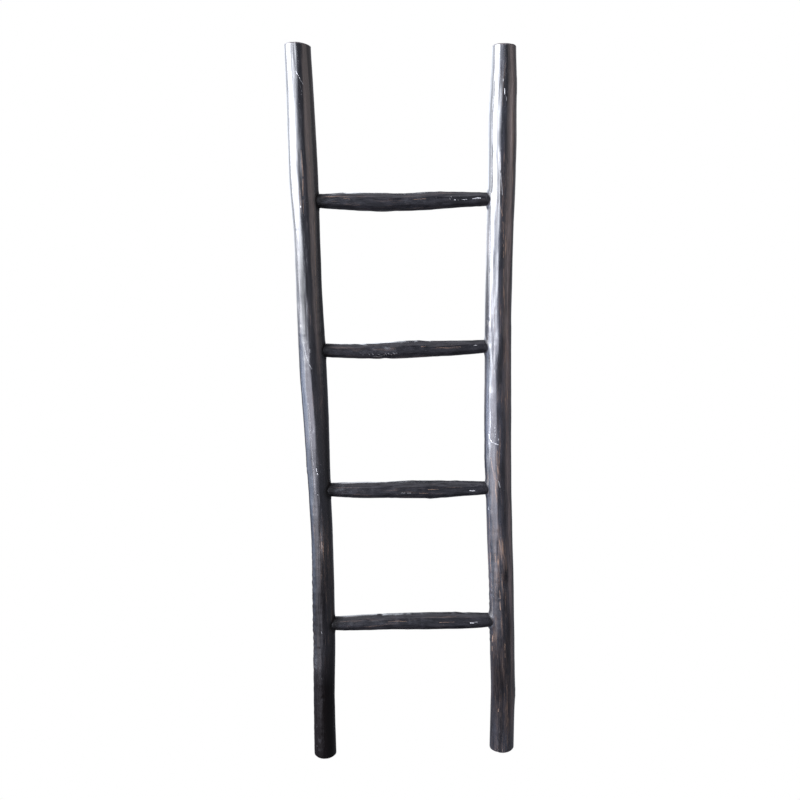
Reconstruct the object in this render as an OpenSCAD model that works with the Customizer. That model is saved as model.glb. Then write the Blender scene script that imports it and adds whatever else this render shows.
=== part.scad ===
// A rustic ladder of two peeled poles and four whittled rungs, stained black.
// The poles keep their natural sway and swelling. Each rung end is let into the
// round face of its rail, goes on as a tenon in a blind mortise, and is held by a
// nail driven through it from the back.
// Millimetres. X runs along the rungs, Y to the back, Z up from the floor.

/* [Ladder] */
// Height of the left rail, from its foot to its sawn top
ladder_height = 1500; // [1350:10:1700]
// How much shorter the right rail is than the left one
right_rail_shortfall = 9; // [0:1:30]
// Distance between the centre lines that the two rails sway about
rail_spacing = 390; // [330:2:460]

/* [Rails] */
// Thickness that the poles swell and thin about
rail_d = 52; // [46:1:60]
// How much wider a pole is one way than the other
rail_out_of_round = 1.2; // [0:0.1:3]
// Rounding worn on the edge of each foot
foot_wear = 3; // [1:0.5:7]
// Rounding worn on the edge of each sawn top
top_wear = 3; // [1:0.5:6]

/* [Rungs] */
// Height of the lowest rung's centre above the floor
first_rung_z = 307; // [200:2:340]
// Distance from one rung up to the next
rung_pitch = 298; // [240:2:320]
// Thickness that the rungs swell and thin about
rung_d = 33; // [30:0.5:40]
// How much wider a rung is one way than the other
rung_out_of_round = 1; // [0:0.1:2]

/* [Joints] */
// Thickness of the tenon on each rung end
tenon_d = 22; // [18:0.5:23]
// How far a tenon reaches past the centre line of its rail
tenon_past_centre = 9; // [6:0.5:12]
// Bevel on the end of a tenon
tenon_bevel = 1.5; // [0.5:0.5:3]
// How far a rung's shoulder is buried where the rail's round face falls away most
shoulder_bury = 1.5; // [0.5:0.5:3]
// How far the turned neck of a rung stands out of the rail before the whittling starts
neck_out = 1.5; // [0.5:0.5:4]
// Glue gap round a tenon and round a rung's neck
joint_clearance = 0.1; // [0.05:0.05:0.3]
// Gap at the bottom of a mortise and behind a shoulder
end_gap = 0.5; // [0.2:0.1:2]

/* [Nails] */
// Thickness of a nail's shank
nail_d = 2.8; // [2:0.1:3.5]
// How far past the centre line of a pole of average thickness a nail's point reaches
nail_bite = 5; // [3:0.5:6]
// Length of a nail's point
nail_point = 4; // [2:0.5:6]
// Width of a nail's head
nail_head_d = 6; // [5:0.5:8]
// Thickness of a nail's head
nail_head_t = 1; // [0.6:0.2:1.6]
// How deep a nail's head is set below the back of the rail
nail_set = 1; // [0.4:0.2:2]
// Gap between a nail and its hole
nail_clearance = 0.05; // [0.02:0.01:0.1]

/* [Hidden] */

LEFT = 0;
RIGHT = 1;
SIDES = [LEFT, RIGHT];
RUNGS = [0:3];

// How each pole grew, at even steps from its foot to its top, left rail first:
// its sway to the right, its bow to the back, and its swelling over rail_d.
rail_sway = [
    [-1.5, 0, 4.5, 6.5, 8.5, 7, 6, 3.5, 2, 1.5, -1, -1.5, -3],
    [2, 4, 2.5, 0.5, -3, -6, -7, -6.5, -6, -3, 0.5, 2, 5],
];
rail_bow = [
    [-7, -3, 0.5, 2.5, 2, 0.5, -1.5, -3, -3, -2, -0.5, 0.5, 1],
    [0, -1.5, -3, -3, -1.5, 0.5, 2, 3, 2.5, 1.5, 0, -1, -1],
];
rail_swell = [
    [-4.5, -6, -4.5, -4.5, -6.5, -4.5, 0, 3.5, 1, 0, 5.5, 2, -1],
    [1, 0, 2, 1, 2.5, 3, 5, 2.5, 2, 2, 3.5, 3, -7],
];

// Knots left where side branches were trimmed, for each rail:
// share of the height, angle from the right-hand side, how far it stands out, reach.
rail_knots = [
    [[0.14, 200, 1.6, 26], [0.33, 320, 1.4, 24], [0.475, 250, 1.8, 28], [0.69, 95, 2, 30], [0.90, 150, 1.4, 26]],
    [[0.09, 340, 1.6, 26], [0.285, 60, 1.8, 28], [0.445, 215, 2, 30], [0.62, 290, 1.4, 24], [0.955, 0, 1.6, 26]],
];

// How each rung was whittled, at even steps from left to right, lowest rung first:
// its rise, its bow to the back, and its swelling over rung_d.
rung_rise = [
    [-1, -0.5, 0.5, 0.5, 0.5, 0, 0],
    [3, 1.5, 0.5, 0, -1.5, -1, -1],
    [2, -0.5, -1.5, 0, 0.5, 1, 2],
    [2.5, 1, -1.5, -3, -1, 0, -0.5],
];
rung_bow = [
    [0, 1, 1.5, 1, 0.5, 0.5, 0],
    [0, -1, -1.5, -0.5, 0.5, 1, 0],
    [0, 0.5, 0, -1, -1.5, -1, 0],
    [0, 1.5, 2, 0.5, -1, -1, 0],
];
rung_swell = [
    [-3, 0, 1, 2.5, 2.5, 2, -2.5],
    [-4, -0.5, 0.5, 2.5, 4, -0.5, -5],
    [-5, -4, -1, 2.5, 0, -3, -6],
    [-5, 0, 3, 0.5, 2, -3.5, -6.5],
];

rail_sides = 24;      // corners round a pole's section
rung_sides = 20;      // corners round a rung's section
ring_step = 26;       // height between two sections of a pole
rung_step = 14;       // length between two sections of a rung
wear_steps = 3;       // sections in a worn edge
rail_twist = 50;      // turn of a pole's wider way from foot to top, in degrees
neck_root = 1;        // how far a rung's neck and its whittled part run into each other
neck_step = 0.4;      // small step where the whittling starts
nail_length = rail_d / 2 - nail_set - nail_head_t + nail_bite;
stain = [0.15, 0.145, 0.155];
steel = [0.3, 0.29, 0.28];

// The value of a list of even steps at a share of its length, on a smooth curve.
function along(steps, share) =
    let (
        last = len(steps) - 1,
        place = min(max(share, 0), 1) * last,
        i = min(floor(place), last - 1),
        t = place - i,
        before = steps[max(i - 1, 0)],
        from = steps[i],
        to = steps[i + 1],
        after = steps[min(i + 2, last)]
    )
    from + t / 2 * (to - before
        + t * (2 * before - 5 * from + 4 * to - after
        + t * (3 * (from - to) + after - before)));

// The smaller angle between two directions.
function turn(a, b) =
    let (d = abs(a - b) % 360) min(d, 360 - d);

// Heights or lengths at even steps of at most step, ends included.
function even_steps(from, to, step) =
    let (n = ceil((to - from) / step))
    [for (i = [0:n]) from + (to - from) * i / n];

// A worn edge as a quarter round: [distance in from the end, inset] of each section.
function worn_edge(radius) =
    [for (i = [0:wear_steps]) let (a = 90 * i / wear_steps)
        [radius * (1 - cos(a)), radius * (1 - sin(a))]];

// Rails: a rail is found by its side and a height.
function toward_middle(side) = side == LEFT ? 1 : -1;
function inner_angle(side) = side == LEFT ? 0 : 180;
function rail_top(side) = ladder_height - (side == RIGHT ? right_rail_shortfall : 0);
function rail_share(side, z) = z / rail_top(side);
function rail_x(side, z) =
    -toward_middle(side) * rail_spacing / 2 + along(rail_sway[side], rail_share(side, z));
function rail_y(side, z) = along(rail_bow[side], rail_share(side, z));
function knot_rise(knot, side, z, angle) =
    let (
        off_z = z - knot[0] * rail_top(side),
        off_round = turn(angle, knot[1]) * PI / 180 * rail_d / 2
    )
    knot[2] * exp(-(off_z * off_z + off_round * off_round * 2) / (knot[3] * knot[3]));
function rail_r(side, z, angle) =
    (rail_d + along(rail_swell[side], rail_share(side, z))) / 2
    + rail_out_of_round / 4 * cos(2 * (angle - rail_twist * rail_share(side, z)))
    + max([for (knot = rail_knots[side]) knot_rise(knot, side, z, angle)]);
function rail_ring(side, z, inset) =
    [for (i = [0:rail_sides - 1])
        let (a = 360 * i / rail_sides, r = rail_r(side, z, a) - inset)
        [rail_x(side, z) + r * cos(a), rail_y(side, z) + r * sin(a), z]];

// Rungs: a rung is found by its number, and its end by a side.
function end_step(steps, side) = side == LEFT ? steps[0] : steps[len(steps) - 1];
function rung_z(rung) = first_rung_z + rung * rung_pitch;
function tenon_z(rung, side) = rung_z(rung) + end_step(rung_rise[rung], side);
function tenon_x(rung, side) = rail_x(side, tenon_z(rung, side));
function tenon_y(rung, side) = rail_y(side, tenon_z(rung, side));
function neck_r(rung, side) = (rung_d + end_step(rung_swell[rung], side)) / 2;

// How far from its rail's centre line a rung's shoulder sits and its neck ends.
function face_r(rung, side) = rail_r(side, tenon_z(rung, side), inner_angle(side));
function shoulder_out(rung, side) =
    sqrt(pow(face_r(rung, side), 2) - pow(neck_r(rung, side), 2)) - shoulder_bury;
function neck_end(rung, side) = face_r(rung, side) + neck_out;
function body_x(rung, side) =
    tenon_x(rung, side) + toward_middle(side) * neck_end(rung, side);

function rung_r(rung, share, angle) =
    (rung_d + along(rung_swell[rung], share)) / 2
    + rung_out_of_round / 4 * cos(2 * (angle - 90 * rung)) * sin(180 * share);
function rung_ring(rung, x, inset) =
    let (
        from = body_x(rung, LEFT),
        to = body_x(rung, RIGHT),
        share = min(max((x - from) / (to - from), 0), 1),
        y = tenon_y(rung, LEFT) * (1 - share) + tenon_y(rung, RIGHT) * share
            + along(rung_bow[rung], share),
        z = rung_z(rung) + along(rung_rise[rung], share)
    )
    [for (i = [0:rung_sides - 1])
        let (a = 360 * i / rung_sides, r = rung_r(rung, share, a) - inset)
        [x, y + r * cos(a), z + r * sin(a)]];

// A closed solid through a row of sections, each a ring of as many points.
module loft(rings) {
    n = len(rings[0]);
    last = len(rings) - 1;
    walls = [for (i = [0:last - 1], j = [0:n - 1])
        let (a = i * n + j, b = i * n + (j + 1) % n)
        each [[a, a + n, b], [b, a + n, b + n]]];
    bottom = [for (j = [0:n - 1]) j];
    top = [for (j = [n - 1:-1:0]) last * n + j];
    polyhedron(points = [for (ring = rings) each ring], faces = concat(walls, [bottom, top]));
}

module pole(side) {
    foot = worn_edge(foot_wear);
    top = worn_edge(top_wear);
    height = rail_top(side);
    straight = even_steps(foot_wear, height - top_wear, ring_step);
    loft(concat(
        [for (e = foot) rail_ring(side, e[0], e[1])],
        [for (i = [1:len(straight) - 2]) rail_ring(side, straight[i], 0)],
        [for (i = [wear_steps:-1:0]) rail_ring(side, height - top[i][0], top[i][1])]
    ));
}

// Puts a shape that is drawn up from the rail's centre line in place for one joint.
module at_joint(rung, side) {
    translate([tenon_x(rung, side), tenon_y(rung, side), tenon_z(rung, side)])
        rotate([0, 90 * toward_middle(side), 0])
            children();
}

// The turned end of a rung: a tenon, its shoulder and the neck behind it.
module rung_end(rung, side) {
    shoulder = shoulder_out(rung, side);
    neck = neck_end(rung, side);
    at_joint(rung, side)
        rotate_extrude($fn = 64)
            polygon([
                [0, -tenon_past_centre],
                [tenon_d / 2 - tenon_bevel, -tenon_past_centre],
                [tenon_d / 2, tenon_bevel - tenon_past_centre],
                [tenon_d / 2, shoulder],
                [neck_r(rung, side), shoulder],
                [neck_r(rung, side), neck],
                [0, neck],
            ]);
}

// The stepped hole that a rung end sits in, with its glue gaps.
module mortise(rung, side) {
    floor_z = -tenon_past_centre - end_gap;
    shoulder = shoulder_out(rung, side) - end_gap;
    at_joint(rung, side) {
        translate([0, 0, floor_z])
            cylinder(h = shoulder - floor_z + neck_root, d = tenon_d + 2 * joint_clearance, $fn = 64);
        translate([0, 0, shoulder])
            cylinder(h = rail_d, r = neck_r(rung, side) + joint_clearance, $fn = 64);
    }
}

// A nail in its place, or with a margin the hole that it is driven into.
module nail(rung, side, margin = 0, mouth = 0) {
    z = tenon_z(rung, side);
    back = rail_y(side, z) + rail_r(side, z, 90);
    shank_r = nail_d / 2 + margin;
    head_r = nail_head_d / 2 + margin;
    translate([tenon_x(rung, side), back - nail_set, z])
        rotate([90, 0, 0])
            rotate_extrude($fn = 32)
                polygon([
                    [0, -mouth], [head_r, -mouth],
                    [head_r, nail_head_t], [shank_r, nail_head_t],
                    [shank_r, nail_head_t + nail_length - nail_point],
                    [0, nail_head_t + nail_length + margin],
                ]);
}

module rail(side) {
    color(stain)
        difference() {
            pole(side);
            for (rung = RUNGS) {
                mortise(rung, side);
                nail(rung, side, nail_clearance, nail_set + rail_d / 4);
            }
        }
}

module rung(number) {
    from = body_x(number, LEFT);
    to = body_x(number, RIGHT);
    stations = even_steps(from + neck_root, to - neck_root, rung_step);
    color(stain)
        difference() {
            union() {
                loft(concat(
                    [rung_ring(number, from - neck_root, neck_step)],
                    [for (x = stations) rung_ring(number, x, 0)],
                    [rung_ring(number, to + neck_root, neck_step)]
                ));
                for (side = SIDES)
                    rung_end(number, side);
            }
            for (side = SIDES)
                nail(number, side, nail_clearance);
        }
}

module nails(side) {
    color(steel)
        for (rung = RUNGS)
            nail(rung, side);
}

module left_rail() { rail(LEFT); }
module right_rail() { rail(RIGHT); }
module bottom_rung() { rung(0); }
module lower_rung() { rung(1); }
module upper_rung() { rung(2); }
module top_rung() { rung(3); }
module left_nails() { nails(LEFT); }
module right_nails() { nails(RIGHT); }

left_rail();
right_rail();
bottom_rung();
lower_rung();
upper_rung();
top_rung();
left_nails();
right_nails();
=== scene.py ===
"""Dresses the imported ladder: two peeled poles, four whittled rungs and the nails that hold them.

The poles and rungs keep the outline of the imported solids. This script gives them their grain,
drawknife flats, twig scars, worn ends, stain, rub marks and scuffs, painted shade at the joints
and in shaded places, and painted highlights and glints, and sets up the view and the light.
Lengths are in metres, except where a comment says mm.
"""
import math

import bpy
import numpy as np
from mathutils import Matrix, Vector
from mathutils.bvhtree import BVHTree


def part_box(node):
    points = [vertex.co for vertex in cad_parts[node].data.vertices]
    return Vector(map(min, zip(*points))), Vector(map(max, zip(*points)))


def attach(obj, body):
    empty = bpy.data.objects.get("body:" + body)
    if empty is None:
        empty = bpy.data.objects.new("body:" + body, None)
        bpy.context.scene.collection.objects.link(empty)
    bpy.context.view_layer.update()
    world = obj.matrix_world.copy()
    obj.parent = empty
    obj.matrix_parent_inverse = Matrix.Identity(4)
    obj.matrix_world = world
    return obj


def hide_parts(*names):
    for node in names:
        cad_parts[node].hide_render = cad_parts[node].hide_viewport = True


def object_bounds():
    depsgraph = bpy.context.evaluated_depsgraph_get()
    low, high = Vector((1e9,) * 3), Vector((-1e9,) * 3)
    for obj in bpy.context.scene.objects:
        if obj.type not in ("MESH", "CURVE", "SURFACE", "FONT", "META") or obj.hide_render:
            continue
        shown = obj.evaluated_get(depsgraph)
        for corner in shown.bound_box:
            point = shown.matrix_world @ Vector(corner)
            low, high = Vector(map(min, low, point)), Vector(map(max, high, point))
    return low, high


bl_info = {
    "name": "Rustic Pole Ladder",
    "version": (1, 0, 0),
    "blender": (4, 5, 0),
    "location": "3D View > Sidebar > Ladder",
    "description": "Dresses a packed pole ladder with grain, stain and wear, and lights it",
    "category": "Add Mesh",
}

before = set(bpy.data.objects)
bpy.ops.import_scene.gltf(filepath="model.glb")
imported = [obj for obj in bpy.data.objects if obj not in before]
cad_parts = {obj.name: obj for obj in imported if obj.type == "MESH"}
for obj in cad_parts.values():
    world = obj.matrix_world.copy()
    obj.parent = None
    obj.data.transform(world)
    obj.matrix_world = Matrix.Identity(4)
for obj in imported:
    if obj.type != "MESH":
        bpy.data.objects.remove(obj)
cad_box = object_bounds()

POLES = ("left_rail", "right_rail")
RUNGS = ("bottom_rung", "lower_rung", "upper_rung", "top_rung")
NAIL_NODES = ("left_nails", "right_nails")
MM = 0.001

# A stick is described round its own length: two directions across it, then one along it.
# A pole points up, a rung to the right, and a nail to the front.
POLE_WAYS = np.array([[1.0, 0.0, 0.0], [0.0, 1.0, 0.0], [0.0, 0.0, 1.0]])
RUNG_WAYS = np.array([[0.0, 1.0, 0.0], [0.0, 0.0, 1.0], [1.0, 0.0, 0.0]])
NAIL_WAYS = np.array([[1.0, 0.0, 0.0], [0.0, 0.0, 1.0], [0.0, -1.0, 0.0]])

# Points round each kind of form.
POLE_COLUMNS = 152
RUNG_COLUMNS = 112
MORTISE_COLUMNS = 96
HOLE_COLUMNS = 40
NAIL_COLUMNS = 32


# Sizes and colours that a user would change

class PoleLadderWood(bpy.types.PropertyGroup):
    """How deep the surface work on the wood goes"""

    grain_depth: bpy.props.FloatProperty(
        name="Grain depth", description="Depth of the open grain along the sticks",
        default=0.40 * MM, min=0, max=1 * MM, precision=5, unit="LENGTH")
    flat_depth: bpy.props.FloatProperty(
        name="Drawknife flats", description="Depth of the soft flats left by peeling",
        default=0.55 * MM, min=0, max=2 * MM, precision=5, unit="LENGTH")
    scar_height: bpy.props.FloatProperty(
        name="Twig scars", description="Height of the trimmed twig scars",
        default=0.9 * MM, min=0, max=3 * MM, precision=5, unit="LENGTH")
    lip_height: bpy.props.FloatProperty(
        name="Joint lips", description="Swelling of a pole round each rung",
        default=1.1 * MM, min=0, max=3 * MM, precision=5, unit="LENGTH")
    row_step: bpy.props.FloatProperty(
        name="Row step", description="Distance between two rows of points along a stick",
        default=2.75 * MM, min=1 * MM, max=10 * MM, precision=5, unit="LENGTH")


class PoleLadderFinish(bpy.types.PropertyGroup):
    """Colours and wear of the finish, with the colours that paint shade and light on it"""

    stain: bpy.props.FloatVectorProperty(
        name="Black stain", description="Colour of the stain where it is whole",
        default=(0.0060, 0.0060, 0.0082), subtype="COLOR", min=0, max=1)
    faded: bpy.props.FloatVectorProperty(
        name="Faded stain", description="Colour of the stain where it has thinned",
        default=(0.060, 0.058, 0.070), subtype="COLOR", min=0, max=1)
    # Partly painted light: besides sun-faded stain, these pale streaks stand for the extra light
    # that falls on the right-facing sides of the poles.
    faded_and_lit_colour: bpy.props.FloatVectorProperty(
        name="Sun-faded side", description="Colour of the stain in the streaks that the sun faded",
        default=(0.370, 0.292, 0.272), subtype="COLOR", min=0, max=1)
    # Painted shade: this near-black, dull colour stands for shade on the poles, such as at the left
    # pole's foot and along its inner side, and dims highlights where it lies.
    deep: bpy.props.FloatVectorProperty(
        name="Deep stain", description="Colour of the stain where it lies thick and dull",
        default=(0.0022, 0.0011, 0.0011), subtype="COLOR", min=0, max=1)
    # Painted shade: this near-black colour, laid where a rung meets a pole, stands for the shadow
    # in the joint.
    seat: bpy.props.FloatVectorProperty(
        name="Joint shade", description="Colour of the stain where a rung meets a pole",
        default=(0.0030, 0.0026, 0.0028), subtype="COLOR", min=0, max=1)
    # Painted light: the right pole's tint is lighter than the left pole's, standing for the
    # stronger light that falls on the right pole.
    left_tint: bpy.props.FloatVectorProperty(
        name="Left pole", description="Colour of the broad thin places on the left pole",
        default=(0.022, 0.0215, 0.0240), subtype="COLOR", min=0, max=1)
    right_pole_lit_tint: bpy.props.FloatVectorProperty(
        name="Right pole", description="Colour of the broad thin places on the right pole",
        default=(0.037, 0.038, 0.049), subtype="COLOR", min=0, max=1)
    rung_tint: bpy.props.FloatVectorProperty(
        name="Rungs", description="Colour of the broad thin places on the rungs",
        default=(0.0085, 0.0085, 0.0110), subtype="COLOR", min=0, max=1)
    brown: bpy.props.FloatVectorProperty(
        name="Brown wood", description="Wood that shows through the stain",
        default=(0.120, 0.082, 0.066), subtype="COLOR", min=0, max=1)
    orange: bpy.props.FloatVectorProperty(
        name="Fresh wood", description="Wood where the stain is rubbed right off",
        default=(0.33, 0.215, 0.150), subtype="COLOR", min=0, max=1)
    # Partly painted light: besides real scuffs and chips, this pale colour paints the glints near
    # the right ends of the rungs and soft highlight lines on the poles.
    scuff_and_painted_glint: bpy.props.FloatVectorProperty(
        name="Scuffs", description="Pale scuffs and chips",
        default=(0.66, 0.66, 0.68), subtype="COLOR", min=0, max=1)
    steel: bpy.props.FloatVectorProperty(
        name="Nail steel", description="Bare steel of the nails",
        default=(0.32, 0.31, 0.30), subtype="COLOR", min=0, max=1)
    wear: bpy.props.FloatProperty(
        name="Wear", description="How much of the stain is rubbed through",
        default=0.5, min=0, max=1, subtype="FACTOR")


class PoleLadderStage(bpy.types.PropertyGroup):
    """Brightness of the soft patches of light round the ladder"""

    window: bpy.props.FloatProperty(
        name="Window", description="Brightness of the tall window on the left",
        default=11.0, min=0, max=100)
    wall: bpy.props.FloatProperty(
        name="Window wall", description="Brightness of the wall round the window",
        default=2.5, min=0, max=100)
    sill: bpy.props.FloatProperty(
        name="Window floor", description="Brightness of the floor under the window",
        default=1.0, min=0, max=100)
    back: bpy.props.FloatProperty(
        name="Back wall", description="Brightness of the wall behind the ladder, on the left",
        default=1.7, min=0, max=100)
    fill: bpy.props.FloatProperty(
        name="Right wall", description="Brightness of the wall on the right",
        default=0.52, min=0, max=100)
    side: bpy.props.FloatProperty(
        name="Right side", description="Brightness far round on the right, above level",
        default=0.11, min=0, max=100)
    top: bpy.props.FloatProperty(
        name="Ceiling", description="Brightness of the ceiling",
        default=0.5, min=0, max=100)
    front: bpy.props.FloatProperty(
        name="Front wall", description="Brightness of the wall in front of the ladder",
        default=0.16, min=0, max=100)
    floor: bpy.props.FloatProperty(
        name="Near floor", description="Brightness of the floor close to the ladder",
        default=0.06, min=0, max=100)
    spill: bpy.props.FloatProperty(
        name="Spill", description="Brightness of the window's light on the wall below it",
        default=2.1, min=0, max=100)
    gap: bpy.props.FloatProperty(
        name="Window gap", description="Brightness of the thin strip of light below the window",
        default=3.5, min=0, max=100)
    room: bpy.props.FloatProperty(
        name="Room", description="Brightness of everything else",
        default=0.02, min=0, max=2)


# Repeatable noise

# Numbers that scatter the bits of a lattice corner and of its seed.
CORNER_FACTORS = (73856093, 19349663, 83492791)
SEED_FACTOR = 2654435761
MIXING = ((15, 2246822519), (13, 3266489917))
LAST_SHIFT = 16
WORD = 0xFFFFFFFF
FRACTION = 0xFFFFFF

# Each finer layer is smaller and weaker than the one before, and has its own seed.
LAYER_SCALE = 2.03
LAYER_STRENGTH = 0.5
LAYER_SEEDS = 17
LAYER_RANGE = 1.6
# How sharp the valleys of ridged noise are.
RIDGE_POWER = 0.6


def lattice(corner, seed):
    """A repeatable number from 0 to 1 for each lattice corner."""
    mixed = seed * SEED_FACTOR
    for axis, factor in enumerate(CORNER_FACTORS):
        mixed = mixed ^ (corner[..., axis] * factor)
    mixed = mixed & WORD
    for shift, factor in MIXING:
        mixed = ((mixed ^ (mixed >> shift)) * factor) & WORD
    mixed ^= mixed >> LAST_SHIFT
    return (mixed & FRACTION) / FRACTION


def noise(points, seed):
    """Smooth noise from -1 to 1 at each point."""
    corner = np.floor(points).astype(np.int64)
    part = smooth_step(points - corner)
    total = np.zeros(points.shape[:-1])
    for step in np.ndindex(2, 2, 2):
        weight = np.prod(np.where(np.array(step) == 1, part, 1 - part), axis=-1)
        total += weight * lattice(corner + np.array(step), seed)
    return 2 * total - 1


def layered(points, seed, layers=3):
    """Noise with finer noise laid over it, about -1 to 1."""
    total = np.zeros(points.shape[:-1])
    share = 1.0
    for layer in range(layers):
        total += share * noise(points * LAYER_SCALE ** layer, seed + LAYER_SEEDS * layer)
        share *= LAYER_STRENGTH
    return total / LAYER_RANGE


def ridged(points, seed):
    """Noise with sharp valleys: 1 on the broad backs and 0 in the cracks between them."""
    return np.abs(noise(points, seed)) ** RIDGE_POWER


def bell(distance, reach):
    """1 at no distance, falling smoothly to 0 past the reach."""
    return np.exp(-(distance / reach) ** 2)


def smooth_step(share):
    """A share from 0 to 1 with a soft start and end."""
    return share * share * (3 - 2 * share)


# The reach of the bell that evens out rows, and how far out it is still counted.
BLUR_BELL = 1.4
BLUR_END = 3


def smooth_along(values, rows):
    """Evens out the first axis over about so many rows."""
    reach = int(BLUR_END * rows)
    weights = bell(np.arange(-reach, reach + 1), rows * BLUR_BELL)
    weights /= weights.sum()
    padding = [(reach, reach)] + [(0, 0)] * (values.ndim - 1)
    padded = np.pad(values, padding, mode="edge")
    return sum(w * padded[i:i + len(values)] for i, w in enumerate(weights))


# Angles round a stick

# On a pole, 0 degrees is on its right, 90 at its back, 180 on its left and 270 in front. On a
# rung, 0 is at its back, 90 on top, 180 in front and 270 below.

def round_turns(columns):
    """The angles of even columns round a stick."""
    return np.arange(columns) * 2 * math.pi / columns


def spokes_at(turns):
    """The direction out of a stick at each angle."""
    return np.stack([np.cos(turns), np.sin(turns)], axis=1)


def wrapped(angle):
    """An angle brought to within half a turn of zero."""
    return (angle + math.pi) % (2 * math.pi) - math.pi


def angle_gap(turns, degrees):
    """Smallest angle between each column and a direction, in radians."""
    gap = np.abs(turns - math.radians(degrees)) % (2 * math.pi)
    return np.minimum(gap, 2 * math.pi - gap)


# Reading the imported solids

# Two measures this close are the same, and so are two radii of the neck.
SAME = 0.05 * MM
SAME_RADIUS = 0.03 * MM
# Where to look: from a rung's end for its tenon and its neck, along a pole for a nail, under
# the head for the shank, and along a stick for its middle.
TENON_LOOK = 3 * MM
NECK_STEP = 0.5 * MM
NECK_LOOK = 15 * MM
NAIL_LOOK = 10 * MM
SHANK_LOOK = 1 * MM
SECTION_LOOK = 30 * MM
# The rays that read a section start this far out, and the middle is found in a few passes.
RAY_START = 0.2
READ_COLUMNS = 48
MIDDLE_PASSES = 3
# The broad waves round a section that are kept of what the rays read.
ROUND_WAVES = 6


def points_of(name):
    """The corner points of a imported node."""
    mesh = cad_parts[name].data
    flat = np.zeros(len(mesh.vertices) * 3, np.float32)
    mesh.vertices.foreach_get("co", flat)
    return flat.reshape(-1, 3).astype(float)


def tree_of(name):
    """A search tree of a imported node's faces."""
    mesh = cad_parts[name].data
    return BVHTree.FromPolygons([v.co for v in mesh.vertices], [p.vertices for p in mesh.polygons])


def read_joint(rung, side):
    """Places and radii of a rung's turned end: side is -1 for the left end and 1 for the right."""
    points = points_of(rung)
    end = side * (points[:, 0] * side).max()
    depth = np.abs(points[:, 0] - end)
    face = points[depth < SAME]
    centre = (face[:, 1:].min(0) + face[:, 1:].max(0)) / 2
    out = np.linalg.norm(points[:, 1:] - centre, axis=1)
    tenon = out[depth < TENON_LOOK].max()
    bevel = depth[np.abs(out - tenon) < SAME].min()
    shoulder = depth[out > tenon + NECK_STEP].min()
    neck = out[np.abs(depth - shoulder) < SAME].max()
    turned = (np.abs(out - neck) < SAME_RADIUS) & (depth < shoulder + NECK_LOOK)
    return {
        "side": side, "end": end, "y": centre[0], "z": centre[1],
        "tenon": tenon, "bevel": bevel, "shoulder": end - side * shoulder,
        "neck": neck, "neck_end": end - side * depth[turned].max(),
    }


def read_nails(name, joints):
    """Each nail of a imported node, found by the joint that it goes through."""
    points = points_of(name)
    found = []
    for joint in joints:
        nail = points[np.abs(points[:, 2] - joint["z"]) < NAIL_LOOK]
        x = (nail[:, 0].min() + nail[:, 0].max()) / 2
        out = np.hypot(nail[:, 0] - x, nail[:, 2] - joint["z"])
        head = out.max()
        under_head = nail[np.abs(out - head) < SAME][:, 1].min()
        shank = out[nail[:, 1] < under_head - SHANK_LOOK].max()
        found.append({
            "x": x, "z": joint["z"], "top": nail[:, 1].max(), "tip": nail[:, 1].min(),
            "head": head, "under_head": under_head, "shank": shank,
            "point": nail[np.abs(out - shank) < SAME][:, 1].min(),
        })
    return found


def read_stick(name, ways, stations):
    """Centre and radius of a packed stick at stations along it, read by rays from outside."""
    tree = tree_of(name)
    across = ways[:2]
    points = points_of(name) @ ways.T
    spokes = spokes_at(round_turns(READ_COLUMNS))
    centres = []
    radii = []

    def reach(centre, station, spoke):
        origin = (centre + RAY_START * spoke) @ across + station * ways[2]
        hit = tree.ray_cast(Vector(origin), Vector(-spoke @ across), 2 * RAY_START)
        if hit[0] is None:
            raise RuntimeError(f"no surface of {name} at {station:.4f}")
        return RAY_START - hit[3]

    for station in stations:
        near = points[np.abs(points[:, 2] - station) < SECTION_LOOK]
        centre = (near[:, :2].min(0) + near[:, :2].max(0)) / 2
        for _ in range(MIDDLE_PASSES):
            one, two, three, four = (
                reach(centre, station, spokes[i * READ_COLUMNS // 4]) for i in range(4))
            centre = centre + np.array([one - three, two - four]) / 2
        centres.append(centre)
        radii.append([reach(centre, station, spoke) for spoke in spokes])
    return np.array(centres), np.array(radii)


def resample_round(radii, columns):
    """Radii at more columns, keeping only the broad waves round the section."""
    waves = np.fft.rfft(radii, axis=1)[:, :ROUND_WAVES + 1] / radii.shape[1]
    turns = round_turns(columns)
    result = np.real(waves[:, :1]) * np.ones(columns)
    for k in range(1, ROUND_WAVES + 1):
        result += 2 * np.real(waves[:, k:k + 1] * np.exp(1j * k * turns))
    return result


def even_rows(start, stop, step):
    """Even stations from start to stop, both included."""
    count = max(2, int(round(abs(stop - start) / step)) + 1)
    return np.linspace(start, stop, count)


def fine_skin(name, ways, rows, stations, columns, blur):
    """The smooth skin of a packed stick at every row: its centres and radii."""
    centres, radii = read_stick(name, ways, stations)
    fine = np.stack(
        [np.interp(rows, stations, column) for column in np.hstack([centres, radii]).T], axis=1)
    fine = smooth_along(fine, blur)
    return fine[:, :2], resample_round(fine[:, 2:], columns)


# Making meshes

# A turned form never closes quite to a point.
LEAST_RADIUS = 0.01 * MM


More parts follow.
